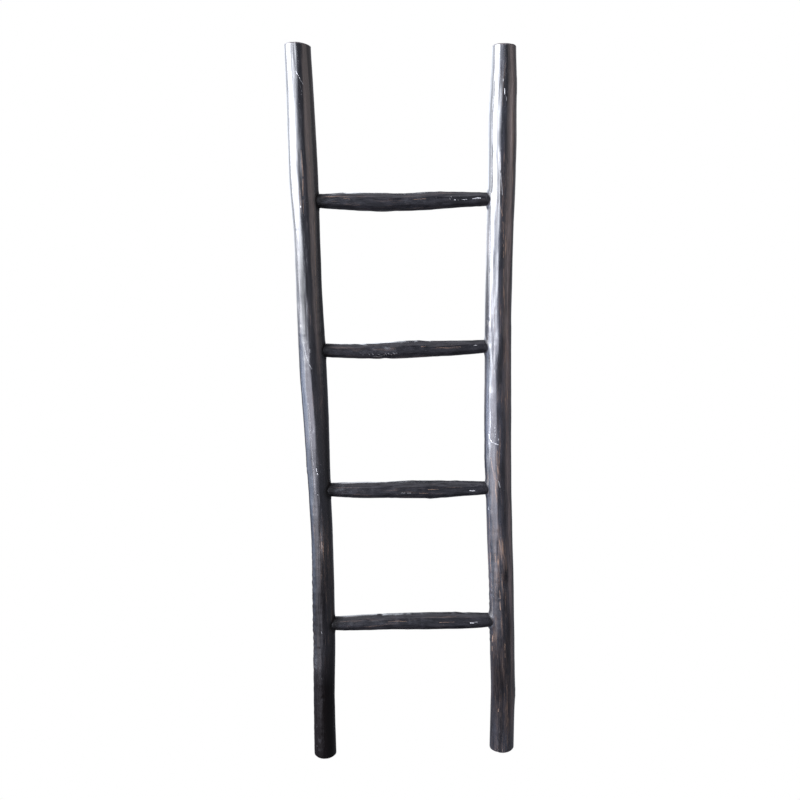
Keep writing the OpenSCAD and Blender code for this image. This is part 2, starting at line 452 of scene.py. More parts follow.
def grid_mesh(name, points, ways, marks):
    """A closed mesh from rows of rings whose first and last rows close on a middle point.

    points is rows by columns by three, in the stick's own directions. marks are values for
    each point, kept as named attributes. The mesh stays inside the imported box."""
    rows, columns, _ = points.shape
    ends = np.stack([points[0].mean(0), points[-1].mean(0)])
    every = np.vstack([points.reshape(-1, 3), ends]) @ ways
    every = np.clip(every, *np.array(cad_box))
    index = np.arange(rows * columns).reshape(rows, columns)
    after = np.roll(index, -1, axis=1)
    quads = np.stack([index[:-1], after[:-1], after[1:], index[1:]], axis=-1).reshape(-1, 4)
    first = rows * columns
    bottom = np.stack([np.full(columns, first), after[0], index[0]], axis=-1)
    top = np.stack([np.full(columns, first + 1), index[-1], after[-1]], axis=-1)
    mesh = bpy.data.meshes.new(name)
    mesh.from_pydata(every.tolist(), [], quads.tolist() + bottom.tolist() + top.tolist())
    mesh.shade_smooth()
    for mark, values in marks.items():
        kind, field, size = (
            ("FLOAT_VECTOR", "vector", 3) if values.ndim == 3 else ("FLOAT", "value", 1))
        flat = values.reshape(rows, columns, size)
        flat = np.vstack([flat.reshape(-1, size), flat[0].mean(0), flat[-1].mean(0)])
        attribute = mesh.attributes.new(mark, kind, "POINT")
        attribute.data.foreach_set(field, flat.astype(np.float32).ravel())
    mesh.validate()
    mesh.update()
    piece = bpy.data.objects.new(name, mesh)
    bpy.context.scene.collection.objects.link(piece)
    return piece


def lathe(profile, centre, columns):
    """Points of a turned form: profile is rows of (radius, place along), centre is across."""
    ring = spokes_at(round_turns(columns))
    rows = []
    for radius, along in profile:
        across = centre + max(radius, LEAST_RADIUS) * ring
        rows.append(np.hstack([across, np.full((columns, 1), along)]))
    return np.array(rows)


def cut_with(piece, cutters):
    """Cuts closed forms out of a piece."""
    for cutter in cutters:
        modifier = piece.modifiers.new("cut", "BOOLEAN")
        modifier.operation = "DIFFERENCE"
        modifier.solver = "EXACT"
        modifier.object = cutter
        bpy.context.view_layer.update()
        depsgraph = bpy.context.evaluated_depsgraph_get()
        cut = bpy.data.meshes.new_from_object(piece.evaluated_get(depsgraph))
        piece.modifiers.clear()
        old = piece.data
        cut.name = old.name
        piece.data = cut
        bpy.data.meshes.remove(old)
        bpy.data.objects.remove(cutter)


def joined(name, forms, ways):
    """One object from several closed turned forms."""
    return merge(name, [
        grid_mesh(f"{name}_{i}", form, ways, {}) for i, form in enumerate(forms)])


def merge(name, pieces):
    """Merges meshes into one object of loose closed forms."""
    points = []
    faces = []
    for piece in pieces:
        first = len(points)
        points += [tuple(v.co) for v in piece.data.vertices]
        faces += [[first + i for i in p.vertices] for p in piece.data.polygons]
        mesh = piece.data
        bpy.data.objects.remove(piece)
        bpy.data.meshes.remove(mesh)
    mesh = bpy.data.meshes.new(name)
    mesh.from_pydata(points, [], faces)
    mesh.update()
    whole = bpy.data.objects.new(name, mesh)
    bpy.context.scene.collection.objects.link(whole)
    return whole


# The surface work on the wood

# Width across the grain and length along it of one cell of each kind of noise, in mm.
POLE_CELLS = {
    "flats": (26, 95), "chatter": (30, 7), "facets": (12, 45), "furrows": (6.5, 110),
    "threads": (2.8, 40), "bark": (16, 5.0), "dents": (11, 24)}
RUNG_CELLS = {
    "planes": (22, 60), "flats": (15, 55), "furrows": (5, 90), "threads": (2.2, 45),
    "chops": (14, 9)}
# How far the grain turns round a stick over its length, in radians a metre.
POLE_TWIST = 0.35
RUNG_TWIST = 0.8
# The middle of the ridged noise that the furrows come from.
RIDGE_MIDDLE = 0.6

# Trimmed twigs on each pole: height, angle, and width of the scar in mm.
TWIG_SCARS = {
    "left_rail": (
        (0.118, 330, 9), (0.342, 120, 8), (0.52, 30, 9), (0.655, 190, 8), (0.842, 75, 9),
        (1.04, 95, 10), (1.128, 165, 8), (1.345, 150, 9)),
    "right_rail": (
        (0.135, 345, 9), (0.415, 60, 9), (0.56, 140, 9), (0.755, 95, 10), (0.935, 20, 8),
        (1.09, 120, 9), (1.285, 65, 9), (1.425, 20, 9)),
}

# Rough stretches where bark was left: low and high end, angle, spread in degrees, height in mm.
ROUGH_STRETCHES = {
    "left_rail": (
        (0.27, 0.47, 187, 20, 0.9), (0.06, 0.42, 187, 20, 0.7), (0.62, 0.72, 180, 16, 0.6)),
    "right_rail": ((0.22, 0.42, 187, 20, 1.2), (0.64, 0.76, 186, 16, 0.7)),
}


def grain_points(rows, turns, radii, twist):
    """Coordinates that run with the grain: round the stick, and along it."""
    turned = turns[None, :] + (rows * twist)[:, None]
    return np.stack([
        radii * np.cos(turned), radii * np.sin(turned),
        np.broadcast_to(rows[:, None], radii.shape)], axis=-1)


def cells(grain, size):
    """Scales grain coordinates so that one noise cell has this width and length in mm."""
    across, along = size
    return grain / (np.array([across, across, along]) * MM)


def standing_proud(coarse, fine, flats, wood):
    """How far each point stands out of the grain, about 0 to 1, which is where it wears."""
    return 0.5 + 0.35 * coarse + 0.25 * fine + 0.3 * flats / wood.flat_depth


# A twig scar is longer than wide. Its ring, its hollow and the groove round it are shares of its
# height, with their reach as a share of half its width.
SCAR_LENGTH = 1.35
SCAR_RING = (1.2, 1.1)
SCAR_HOLLOW = (1.5, 0.38)
SCAR_GROOVE = (0.25, 0.25)
SCAR_GROOVE_PLACE = 1.25


def wave(distance, shape):
    """A soft bump with a height and a reach."""
    height, reach = shape
    return height * bell(distance, reach)


def twig_scars(name, rows, turns, radii, height):
    """Raised rings and sunken middles where twigs were trimmed off."""
    total = np.zeros(radii.shape)
    for place, angle, width in TWIG_SCARS[name]:
        up = (rows - place)[:, None] / SCAR_LENGTH
        side = angle_gap(turns, angle)[None, :] * radii
        off = np.hypot(up, side) / (width * MM)
        total += height * (wave(off, SCAR_RING) - wave(off, SCAR_HOLLOW))
        total -= height * wave(off - SCAR_GROOVE_PLACE, SCAR_GROOVE)
    return total


# How far each pole swells round its rungs, from the bottom rung up, as a share of the lip
# height, and how deep the rounded rim of its mortises is in mm.
JOINT_LIPS = {"left_rail": (0.3, 0.3, 0.3, 0.3), "right_rail": (0.9, 0.5, 0.6, 1.0)}
JOINT_RIMS = {"left_rail": 0.0, "right_rail": 1.5}
# The collar over and under a rung and the broad swell behind it, as shares of the lip, and
# how far each reaches from the rung, in mm.
COLLAR = 2.0
COLLAR_REACH = 4.5
SWELL = 0.5
SWELL_START = 3
SWELL_REACH = 4
RIM_REACH = 1.7
# How dark the painted shade on each pole is round its rungs, and how far that reaches in mm.
JOINT_SHADE = {"left_rail": 1.0, "right_rail": 0.2}
JOINT_SHADE_REACH = 5.0


def joint_lips(name, rows, turns, skin_centres, radii, joints, height):
    """The swelling of the pole over and under each rung, and the rounded rim of the mortise."""
    total = np.zeros(radii.shape)
    for joint, share in zip(joints, JOINT_LIPS[name]):
        across = skin_centres[:, None, 1] + radii * np.sin(turns)
        up = rows[:, None] - joint["z"]
        off = np.hypot(across - joint["y"], up)
        facing = np.clip(-joint["side"] * np.cos(turns), 0, 1)[None, :] ** 0.5
        edge = np.maximum(off - joint["neck"], 0)
        over = np.abs(up) / np.maximum(off, MM)
        collar = COLLAR * over ** 2 * bell(edge, COLLAR_REACH * MM)
        swell = SWELL * bell(np.maximum(edge - SWELL_START * MM, 0), SWELL_REACH * MM)
        rim = JOINT_RIMS[name] * MM * (1 - over) * bell(edge, RIM_REACH * MM)
        total += facing * (share * height * (collar + swell) - rim)
    return total


# Long flats that the drawknife left: low and high end, angle at each of them, depth in mm.
DRAWKNIFE_FLATS = {
    "left_rail": (
        (1.395, 1.52, 254, 254, 0.85), (1.205, 1.3, 262, 262, 0.45), (0.96, 1.15, 224, 224, 0.8),
        (0.56, 0.94, 259, 245, 0.6), (0.56, 0.94, 230, 214, 0.8), (0.24, 0.56, 262, 262, 0.5),
        (0.02, 0.26, 239, 239, 0.6), (0.95, 1.5, 302, 302, 0.55), (0.3, 0.82, 308, 308, 0.6),
        (0.05, 0.42, 318, 318, 0.4), (0.15, 0.7, 20, 20, 0.7), (0.8, 1.3, 35, 35, 0.6),
        (0.1, 0.55, 92, 92, 0.8), (0.62, 1.08, 80, 80, 0.7), (1.0, 1.45, 110, 110, 0.8),
        (0.4, 0.95, 150, 150, 0.6), (1.1, 1.48, 165, 165, 0.5), (0.05, 0.5, 175, 175, 0.4),
        (0.85, 1.2, 205, 205, 0.4)),
    "right_rail": (
        (0.86, 1.3, 247, 245, 1.0), (1.33, 1.44, 244, 244, 0.6), (1.41, 1.52, 256, 256, 0.5),
        (0.48, 0.86, 241, 244, 0.38), (0.15, 0.52, 258, 258, 0.6), (0.0, 0.2, 240, 240, 0.5),
        (0.56, 1.42, 295, 295, 0.5), (0.1, 0.6, 300, 300, 0.7), (0.25, 0.9, 325, 325, 0.5),
        (0.95, 1.4, 345, 345, 0.6), (0.08, 0.48, 10, 10, 0.7), (0.5, 1.0, 60, 60, 0.8),
        (1.0, 1.45, 75, 75, 0.7), (0.12, 0.62, 105, 105, 0.8), (0.7, 1.25, 130, 130, 0.7),
        (0.3, 0.8, 172, 172, 0.5), (1.15, 1.5, 185, 185, 0.5), (0.02, 0.3, 200, 200, 0.4)),
}


# A flat's depth and direction drift along it in so many waves a metre. It runs out softly at
# both ends, its borders are rounded, and it reaches this far round the pole, in radians.
DEPTH_DRIFT = 0.35
DEPTH_WAVES = 14
LEAN_DRIFT = math.radians(5)
LEAN_WAVES = 9
FLAT_RUN_OUT = 0.045
FLAT_ROUNDING = 0.50 * MM
FLAT_HALF_ANGLE = 1.0


def drift(rows, waves, lane, seed):
    """Noise that changes only along a stick."""
    return noise(np.stack([rows * waves, rows * 0 + lane, rows * 0], axis=1), seed)


def drawknife_flats(name, rows, turns, radii, seed):
    """How much the long flats lower each point."""
    total = np.zeros(radii.shape)
    for number, (low, high, angle, top_angle, depth) in enumerate(DRAWKNIFE_FLATS[name]):
        ends = smooth_step(np.clip(np.minimum(rows - low, high - rows) / FLAT_RUN_OUT, 0, 1))
        share = ends * (1 + DEPTH_DRIFT * drift(rows, DEPTH_WAVES, number, seed))
        lean = LEAN_DRIFT * drift(rows, LEAN_WAVES, number + 0.5, seed)
        turned = np.clip((rows - low) / (high - low), 0, 1) * math.radians(top_angle - angle)
        gap = turns[None, :] - math.radians(angle) - (turned + lean)[:, None]
        gap = np.abs(wrapped(gap))
        plane = (radii - depth * MM * share[:, None]) / np.cos(np.minimum(gap, FLAT_HALF_ANGLE))
        over = np.where(gap < FLAT_HALF_ANGLE, radii - plane, -MM)
        cut = (over + np.sqrt(over ** 2 + FLAT_ROUNDING ** 2)) / 2
        total -= cut * (share > 0)[:, None]
    return total


# Heights on a pole: the knife's chatter as a share of the flats, the facets, the bark as a share
# of its stretch's height, the dents and the noise where they start, and the lift that evens out
# what the flats take away.
CHATTER = 0.12
FACET_HEIGHT = 0.34 * MM
BARK_SHARE = 1.5
DENT_DEPTH = 1.6 * MM
DENT_START = 0.72
LIFT = 0.25 * MM


def rough_bark(name, rows, turns, grain, shape, seed):
    """Bark nibs on the stretches that were left rough."""
    total = np.zeros(shape)
    bark = layered(cells(grain, POLE_CELLS["bark"]), seed, 2)
    for low, high, angle, spread, rise in ROUGH_STRETCHES[name]:
        inside = bell(rows - (low + high) / 2, (high - low) / 2)[:, None]
        inside = inside * bell(angle_gap(turns, angle), math.radians(spread))[None, :]
        total += BARK_SHARE * rise * MM * inside * bark
    return total


def pole_surface(name, rows, turns, centres, radii, joints, wood, seed):
    """Height of the surface over the smooth skin, and how proud the grain stands."""
    grain = grain_points(rows, turns, radii, POLE_TWIST)
    flats = wood.flat_depth * layered(cells(grain, POLE_CELLS["flats"]), seed, 3)
    chatter = CHATTER * wood.flat_depth * noise(cells(grain, POLE_CELLS["chatter"]), seed + 1)
    coarse = ridged(cells(grain, POLE_CELLS["furrows"]), seed + 2) - RIDGE_MIDDLE
    fine = noise(cells(grain, POLE_CELLS["threads"]), seed + 3)
    facets = FACET_HEIGHT * layered(cells(grain, POLE_CELLS["facets"]), seed + 6, 2)
    furrows = facets + wood.grain_depth * (0.6 * coarse + 0.4 * fine)
    rough = rough_bark(name, rows, turns, grain, radii.shape, seed + 4)
    dents = np.clip(noise(cells(grain, POLE_CELLS["dents"]), seed + 5) - DENT_START, 0, 1)
    height = flats + chatter + furrows + rough - DENT_DEPTH * dents
    height += LIFT + drawknife_flats(name, rows, turns, radii, seed + 7)
    height += twig_scars(name, rows, turns, radii, wood.scar_height)
    height += joint_lips(name, rows, turns, centres, radii, joints, wood.lip_height)
    return height, standing_proud(coarse, fine, flats, wood), grain


# Streaks rubbed through to brown: height, angle, length and width in mm, strength.
POLE_RUBS = {
    "left_rail": (
        (1.278, 252, 95, 2.2, 1.0), (1.215, 256, 60, 2.0, 0.8), (1.33, 300, 260, 6, 0.45),
        (1.1, 296, 300, 5, 0.5), (0.92, 300, 240, 5, 0.45), (0.76, 305, 160, 5, 0.3),
        (1.02, 262, 180, 3, 0.3), (0.43, 292, 280, 46, 0.55), (0.4, 262, 120, 14, 0.6),
        (0.22, 250, 220, 44, 0.45)),
    "right_rail": (
        (1.41, 262, 80, 2.5, 0.55), (1.22, 270, 150, 3, 0.8), (1.16, 285, 260, 7, 0.6),
        (1.13, 299, 300, 6, 0.6), (1.02, 285, 120, 3, 1.0), (0.93, 290, 260, 6, 0.8),
        (0.85, 300, 220, 5, 0.7), (0.83, 277, 120, 3, 0.7), (0.655, 262, 75, 3, 1.0),
        (0.62, 252, 60, 3, 0.8), (0.72, 305, 200, 5, 0.5), (0.4, 272, 120, 7, 0.9),
        (0.36, 285, 90, 6, 0.7), (0.3, 262, 90, 5, 0.7), (0.33, 300, 200, 7, 0.4),
        (0.245, 280, 60, 4, 0.5), (0.98, 312, 900, 9, 0.5), (0.95, 335, 900, 9, 0.35),
        (0.16, 268, 400, 80, 0.4), (0.45, 262, 240, 46, 0.45), (0.64, 268, 200, 10, 0.35)),
}

# Long pale streaks, partly faded stain and partly painted light on the sides of the poles that face
# the light on the right: height, angle, length and width in mm, strength.
POLE_FADED_AND_LIT = {
    "left_rail": (
        (1.33, 296, 260, 5, 0.26), (1.16, 303, 200, 5, 0.28), (0.98, 297, 200, 4, 0.2),
        (0.8, 304, 260, 4, 0.15), (1.02, 226, 500, 6, 0.1)),
    "right_rail": (
        (1.36, 306, 280, 8, 0.8), (1.12, 311, 280, 9, 0.9), (0.87, 316, 300, 11, 1.0),
        (0.66, 317, 240, 11, 1.0), (0.51, 320, 240, 10, 1.0), (0.4, 314, 170, 9, 1.0),
        (0.25, 322, 200, 10, 0.8), (0.1, 318, 140, 9, 0.5)),
}

# Painted shade, given as whole deep stain, where a pole should lie in shade or its highlight is
# dimmed: height, angle, length and width in mm, strength.
POLE_PAINTED_SHADE = {
    "left_rail": (
        (0.03, 270, 400, 500, 1.6), (1.1, 338, 900, 11, 0.7), (0.7, 330, 500, 13, 0.6),
        (1.02, 244, 300, 14, 1.0), (0.88, 243, 200, 10, 0.3), (0.34, 228, 460, 46, 0.9),
        (1.24, 210, 160, 12, 0.35), (0.37, 264, 260, 17, 0.97), (0.66, 213, 300, 17, 0.5),
        (0.06, 274, 240, 18, 1.0), (0.16, 268, 170, 14, 0.7), (0.3, 335, 400, 12, 0.5)),
    "right_rail": (
        (0.62, 292, 260, 9, 0.35), (0.52, 231, 170, 24, 0.45), (0.63, 209, 170, 17, 0.55),
        (0.97, 209, 200, 11, 0.8), (0.34, 285, 90, 10, 0.5), (0.18, 292, 200, 8, 0.4),
        (0.18, 232, 400, 54, 0.8), (0.415, 286, 50, 10, 0.8), (0.3, 300, 120, 9, 0.6),
        (0.09, 292, 200, 16, 0.5)),
}

# Thin marks on each pole, by whether they show pale, faint or as bare wood: arc in mm round the
# skin from the front line and height in mm, at both ends, and half the width in mm. Some faint
# marks are painted highlight lines along the edge of the gloss; the rest are scratches and specks.
POLE_MARKS = {
    "left_rail": {
        "pale": (
            (-3.5, 1446, -0.8, 1441, 0.6), (-0.8, 1441, 3.5, 1432, 0.45),
            (-6.4, 1194, -6.4, 1192, 1.1), (-3.2, 661, -2.2, 655, 0.8),
            (-1.4, 651, -0.6, 648, 0.9)),
        "faint": (
            (3.5, 1432, 8.9, 1422, 0.5), (-14.0, 925, -10.7, 898, 0.6),
            (-10.7, 898, -6.4, 888, 0.5), (-2.2, 912, -2.4, 905, 0.7),
            (-5.5, 882, -0.6, 872, 0.6), (-12.0, 800, -11.0, 742, 0.4),
            (-10.8, 735, -9.8, 668, 0.5), (-9.6, 660, -8.8, 606, 0.4),
            (-3.1, 605, -2.9, 603, 0.8), (-5.2, 297, -3.9, 292, 0.6)),
        "bare": (
            (-0.4, 1300, 0.5, 1272, 0.7), (0.5, 1272, 0.9, 1250, 0.8),
            (0.7, 1246, -0.9, 1214, 0.9), (-1.3, 1206, -2.0, 1180, 0.5),
            (13.4, 1320, 14.4, 1280, 0.5), (14.2, 1270, 12.8, 1228, 0.5),
            (18.4, 1200, 18.8, 1150, 0.5), (18.8, 1150, 16.3, 1058, 0.45),
            (16.3, 1050, 14.3, 970, 0.45), (-1.6, 520, -1.0, 508, 0.7), (0.4, 500, 0.2, 486, 0.6))},
    "right_rail": {
        "pale": (
            (-1.0, 1407, -0.2, 1397, 0.8), (-21.6, 724, -19.8, 716, 0.7),
            (-19.8, 716, -15.6, 709, 0.8), (-15.6, 709, -8.6, 706, 0.5),
            (-8.6, 706, -2.2, 704, 0.8)),
        "faint": (
            (-7.4, 1289, -5.9, 1256, 0.9), (-5.3, 1249, -1.2, 1208, 0.8),
            (-4.6, 1425, -4.4, 1421, 0.9), (1.6, 1394, 2.0, 1392, 0.5),
            (3.0, 1391, 3.4, 1385, 0.7), (-18.8, 772, -18.6, 742, 1.1),
            (-18.8, 742, -19.6, 728, 1.0), (-21.6, 706, -21.0, 704, 1.3),
            (-8.9, 740, -8.7, 738, 1.0), (-8.2, 733, -8.1, 731, 0.6), (-7.8, 727, -7.6, 725, 0.6),
            (-8.4, 721, -8.3, 719, 0.6), (-1.4, 716, -1.3, 714, 1.1), (-2.4, 626, -1.6, 622, 0.6),
            (-1.2, 621, 0.6, 612, 0.9), (-28.0, 566, -27.6, 561, 0.9)),
        "bare": (
            (-4.9, 1185, 0.6, 1168, 0.8), (1.5, 1156, 3.4, 1126, 0.8),
            (17.2, 1379, 18.4, 1330, 0.8), (18.4, 1322, 20.0, 1270, 0.8),
            (20.0, 1262, 21.2, 1221, 0.8), (3.6, 1132, 4.0, 1122, 0.7),
            (4.2, 1113, 4.4, 1108, 0.7), (4.4, 1098, 4.8, 1086, 0.7), (6.0, 1064, 6.6, 1048, 0.8),
            (-3.5, 690, -3.3, 686, 0.9), (-17.0, 676, -13.8, 651, 0.7),
            (-13.8, 651, -10.6, 629, 0.8), (-14.6, 465, -13.0, 446, 0.6),
            (-7.0, 384, -5.6, 366, 0.9), (-6.8, 358, -5.8, 340, 0.8),
            (-26.0, 277, -27.5, 262, 1.3), (-28.8, 250, -28.4, 240, 1.1),
            (3.0, 262, 2.8, 248, 0.7), (3.2, 240, 2.7, 230, 0.6), (-13.6, 106, -13.3, 100, 0.6))},
}


def streaks(marks, rows, turns, radii, unit):
    """How much of each point lies in a list of long marks along a stick.

    Each mark has its place, angle, length, width and strength. The unit is the length of one
    step of rows, in metres. Where marks overlap, the strongest counts."""
    total = np.zeros(radii.shape)
    for place, angle, length, width, strength in marks:
        up = (rows - place)[:, None] * unit
        side = wrapped(turns - math.radians(angle))[None, :] * radii
        inside = bell(up, length * MM / 2) * bell(side, width * MM / 1.5)
        total = np.maximum(total, strength * inside)
    return total


def skin_places(turns, radii, points, front=1.5 * math.pi):
    """Places on the unrolled skin in mm: arc from the front line, then the place along."""
    arc = wrapped(turns - front) * radii.mean() / MM
    wide = np.broadcast_to(arc[None, :], points.shape[:2])
    return np.stack([wide, points[..., 2] / MM, np.zeros(points.shape[:2])], axis=-1)


def rings_of(centres, radii, rows, turns, height):
    """Points of the rings of a stick, in its own directions."""
    out = radii + height
    return np.stack([
        centres[:, None, 0] + out * np.cos(turns), centres[:, None, 1] + out * np.sin(turns),
        np.broadcast_to(rows[:, None], radii.shape)], axis=-1)


def with_ends(first, last, values, first_value, last_value=None):
    """Adds even values for the rows of both ends to the values along a stick."""
    last_value = first_value if last_value is None else last_value
    shape = values.shape[1:]
    return np.concatenate([
        np.full((len(first),) + shape, first_value), values,
        np.full((len(last),) + shape, last_value)])


# Bevels knocked off the ends of each pole: angle, spread in degrees, depth in mm.
FOOT_BEVELS = {
    "left_rail": ((212, 26, 4.0), (325, 24, 4.5)),
    "right_rail": ((222, 34, 3.0), (338, 22, 7.0), (90, 30, 3.0)),
}
TOP_BEVELS = {
    "left_rail": ((345, 40, 2.5), (120, 30, 2.0)),
    "right_rail": ((300, 18, 1.5), (60, 40, 2.0)),
}
# How much lower the top of each pole is on its right, in mm.
TOP_SLANTS = {"left_rail": 4.0, "right_rail": 1.5}
# The slant lies on the right-hand side of the top and fades out down the pole, in metres.
SLANT_WIDTH = 26 * MM
SLANT_REACH = 34 * MM

# Rows of points on the sawn face, as shares of its radius, and rows round its worn edge.
SAWN_SHARES = (0.04, 0.12, 0.2, 0.28, 0.36, 0.44, 0.52, 0.6, 0.68, 0.76, 0.84, 0.91, 0.97)
ROUND_STEPS = 6
# How uneven the worn edge is, and how many cells of noise its radius spans.
WEAR_DRIFT = 0.35
WEAR_CELLS = 3
# The saw's grooves, and how they bend across the face.
KERF_DEPTH = 0.10 * MM
KERF_WIDTH = 1.4 * MM
KERF_BEND = 2
KERF_WAVES = 40
# The cracks that run out of the middle of a sawn face, and how they wander on the way.
CRACK_ANGLES = (35, 118, 205, 262, 330)
CRACK_DEPTH = 1.6 * MM
CRACK_WIDTH = 0.9 * MM
CRACK_WANDER = 0.12
CRACK_WAVES = 9


def sawn_end(ring, centre, turns, side, seed, wear, bevels):
    """Rows that close one end of a pole: its worn edge, then the sawn face with its cracks.

    ring is the last full ring. The rows run from the ring to the middle, and side is 1 for
    the top and -1 for the foot."""
    place = ring[0, 2]
    spokes = spokes_at(turns)
    radius = np.linalg.norm(ring[:, :2] - centre, axis=1)
    corner = np.hstack([spokes * WEAR_CELLS, np.full((len(turns), 1), seed)])
    own_wear = wear * (1 + WEAR_DRIFT * layered(corner, seed, 2))
    for angle, spread, depth in bevels:
        own_wear = own_wear + depth * MM * bell(angle_gap(turns, angle), math.radians(spread))
    rows = []
    for step in range(1, ROUND_STEPS + 1):
        a = math.pi / 2 * step / ROUND_STEPS
        out = radius - own_wear * (1 - math.cos(a))
        up = place + side * wear * math.sin(a) * np.ones(len(turns))
        rows.append(np.hstack([centre + out[:, None] * spokes, up[:, None]]))
    flat = radius - own_wear
    for share in reversed(SAWN_SHARES):
        out = flat * share
        across = centre + out[:, None] * spokes
        bend = KERF_BEND * np.sin(across[:, 1] * KERF_WAVES)
        kerf = KERF_DEPTH * (1 + np.sin(across[:, 0] / KERF_WIDTH + bend))
        crack = np.zeros(len(turns))
        for k, angle in enumerate(CRACK_ANGLES):
            wander = CRACK_WANDER * math.sin(CRACK_WAVES * share + k)
            gap = np.abs(wrapped(turns - math.radians(angle) - wander)) * out
            crack += CRACK_DEPTH * bell(gap, CRACK_WIDTH) * share ** 0.5
        up = place + side * wear - side * (kerf + crack)
        rows.append(np.hstack([across, up[:, None]]))
    return np.array(rows)


# Room round the tenon and the neck, at the end of the tenon, and round a nail, and how far the
# forms that cut the mortises and the nail holes reach out of the wood.
JOINT_GAP = 0.1 * MM
END_GAP = 0.5 * MM
NAIL_GAP = 0.05 * MM
MORTISE_OUT = 90 * MM
NAIL_OUT = 12 * MM


def nail_hole(nail):
    """The form of the hole that a nail is driven into, open at the back."""
    head = nail["head"] + NAIL_GAP
    shank = nail["shank"] + NAIL_GAP
    mouth = -nail["top"] - NAIL_OUT
    profile = [
        (0, mouth), (head, mouth), (head, -nail["under_head"]), (shank, -nail["under_head"]),
        (shank, -nail["point"]), (0, -nail["tip"] + NAIL_GAP)]
    return lathe(profile, np.array([nail["x"], nail["z"]]), HOLE_COLUMNS)


def mortise(joint):
    """The form of the stepped hole that a rung's end sits in, open towards the other pole."""
    out = joint["side"]
    floor = joint["end"] + out * END_GAP
    seat = joint["shoulder"] + out * END_GAP
    mouth = joint["end"] - out * MORTISE_OUT
    wide = joint["neck"] + JOINT_GAP
    narrow = joint["tenon"] + JOINT_GAP
    profile = [
        (0, floor), (narrow, floor), (narrow, seat), (wide, seat), (wide, mouth), (0, mouth)]
    if out > 0:
        profile = profile[::-1]
    return lathe(profile, np.array([joint["y"], joint["z"]]), MORTISE_COLUMNS)


def joint_shade(name, body, turns, joints):
    """How dark the painted shade is on a pole round each rung that enters it, from 0 to 1."""
    total = np.zeros(body.shape[:2])
    for joint in joints:
        off = np.hypot(body[..., 1] - joint["y"], body[..., 2] - joint["z"])
        facing = (-joint["side"] * np.cos(turns) > 0)[None, :]
        near = JOINT_SHADE[name] * bell(off - joint["neck"], JOINT_SHADE_REACH * MM)
        total = np.maximum(total, facing * near)
    return total


# A pole's ends are worn this far in. Its skin is read at these steps, away from its ends and
# from its mortises, and evened out over a few rows.
POLE_WEAR = 3 * MM
READ_STEP = 6.5 * MM
READ_FROM_END = 7 * MM
READ_FROM_JOINT = 2 * MM
POLE_BLUR = 4
POLE_SHARP = math.radians(50)


def make_pole(name, side, wood, seed):
    """One peeled pole with its mortises, nail holes, grain, twig scars and sawn ends."""
    joints = [read_joint(rung, side) for rung in RUNGS]
    nails = read_nails(NAIL_NODES[POLES.index(name)], joints)
    low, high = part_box(name)
    stations = [
        z for z in even_rows(low.z + READ_FROM_END, high.z - READ_FROM_END, READ_STEP)
        if all(abs(z - joint["z"]) > joint["neck"] + READ_FROM_JOINT for joint in joints)]
    rows = even_rows(low.z + POLE_WEAR, high.z - POLE_WEAR, wood.row_step)
    turns = round_turns(POLE_COLUMNS)
    centres, radii = fine_skin(name, POLE_WAYS, rows, stations, POLE_COLUMNS, POLE_BLUR)
    height, proud, grain = pole_surface(name, rows, turns, centres, radii, joints, wood, seed)
    body = rings_of(centres, radii, rows, turns, height)
    foot = sawn_end(
        body[0], centres[0], turns, -1, seed + 11, POLE_WEAR, FOOT_BEVELS[name])[::-1]
    top = sawn_end(body[-1], centres[-1], turns, 1, seed + 12, POLE_WEAR, TOP_BEVELS[name])
    points = np.vstack([foot, body, top])
    to_right = np.clip((points[..., 0] - centres[-1, 0]) / SLANT_WIDTH + 0.1, 0, 1)
    near_top = np.clip((points[..., 2] - high.z) / SLANT_REACH + 1, 0, 1)
    points[..., 2] -= TOP_SLANTS[name] * MM * to_right ** 1.3 * near_top ** 2

    rubs, faded_and_lit_streaks, painted_shade = (
        streaks(marks[name], rows, turns, radii, 1.0)
        for marks in (POLE_RUBS, POLE_FADED_AND_LIT, POLE_PAINTED_SHADE))
    straight = points - np.array([centres[:, 0].mean(), centres[:, 1].mean(), 0])
    marks = {
        "grain": np.concatenate([straight[:len(foot)], grain, straight[-len(top):]]),
        "skin": skin_places(turns, radii, points),
        "proud": with_ends(foot, top, proud, 0.5),
        "rub": with_ends(foot, top, rubs, 0.2),
        "sawn": with_ends(foot, top, np.zeros(radii.shape), 1.0),
        "seat": with_ends(foot, top, joint_shade(name, body, turns, joints), 0.0),
        "faded_and_lit": with_ends(foot, top, faded_and_lit_streaks, 0.0),
        "deep": with_ends(foot, top, np.minimum(painted_shade, 1.0), 0.0),
    }
    piece = grid_mesh(f"{name}_wood", points, POLE_WAYS, marks)
    mortises = [mortise(joint) for joint in joints]
    holes = [nail_hole(nail) for nail in nails]
    cut_with(piece, [
        joined(f"{name}_mortise_cutter", mortises, RUNG_WAYS),
        joined(f"{name}_nail_cutter", holes, NAIL_WAYS)])
    piece.data.set_sharp_from_angle(angle=POLE_SHARP)
    return piece


# Streaks rubbed through to brown on each rung: place from its left end in mm, angle, length and
# width in mm, strength. The angle is 0 at the back, 90 at the top and 180 at the front.
RUNG_RUBS = {
    "top_rung": ((70, 150, 120, 5, 0.4), (190, 140, 120, 5, 0.45), (250, 130, 90, 4, 0.4)),
    "upper_rung": ((105, 160, 60, 3, 0.4), (245, 172, 45, 2, 1.0), (265, 174, 25, 2, 0.8)),
    "lower_rung": ((220, 150, 80, 4, 0.5), (175, 185, 60, 2.5, 0.7), (60, 170, 60, 3, 0.3)),
    "bottom_rung": ((150, 150, 120, 4, 0.5), (240, 130, 110, 5, 0.6), (120, 190, 80, 3, 0.45)),
}
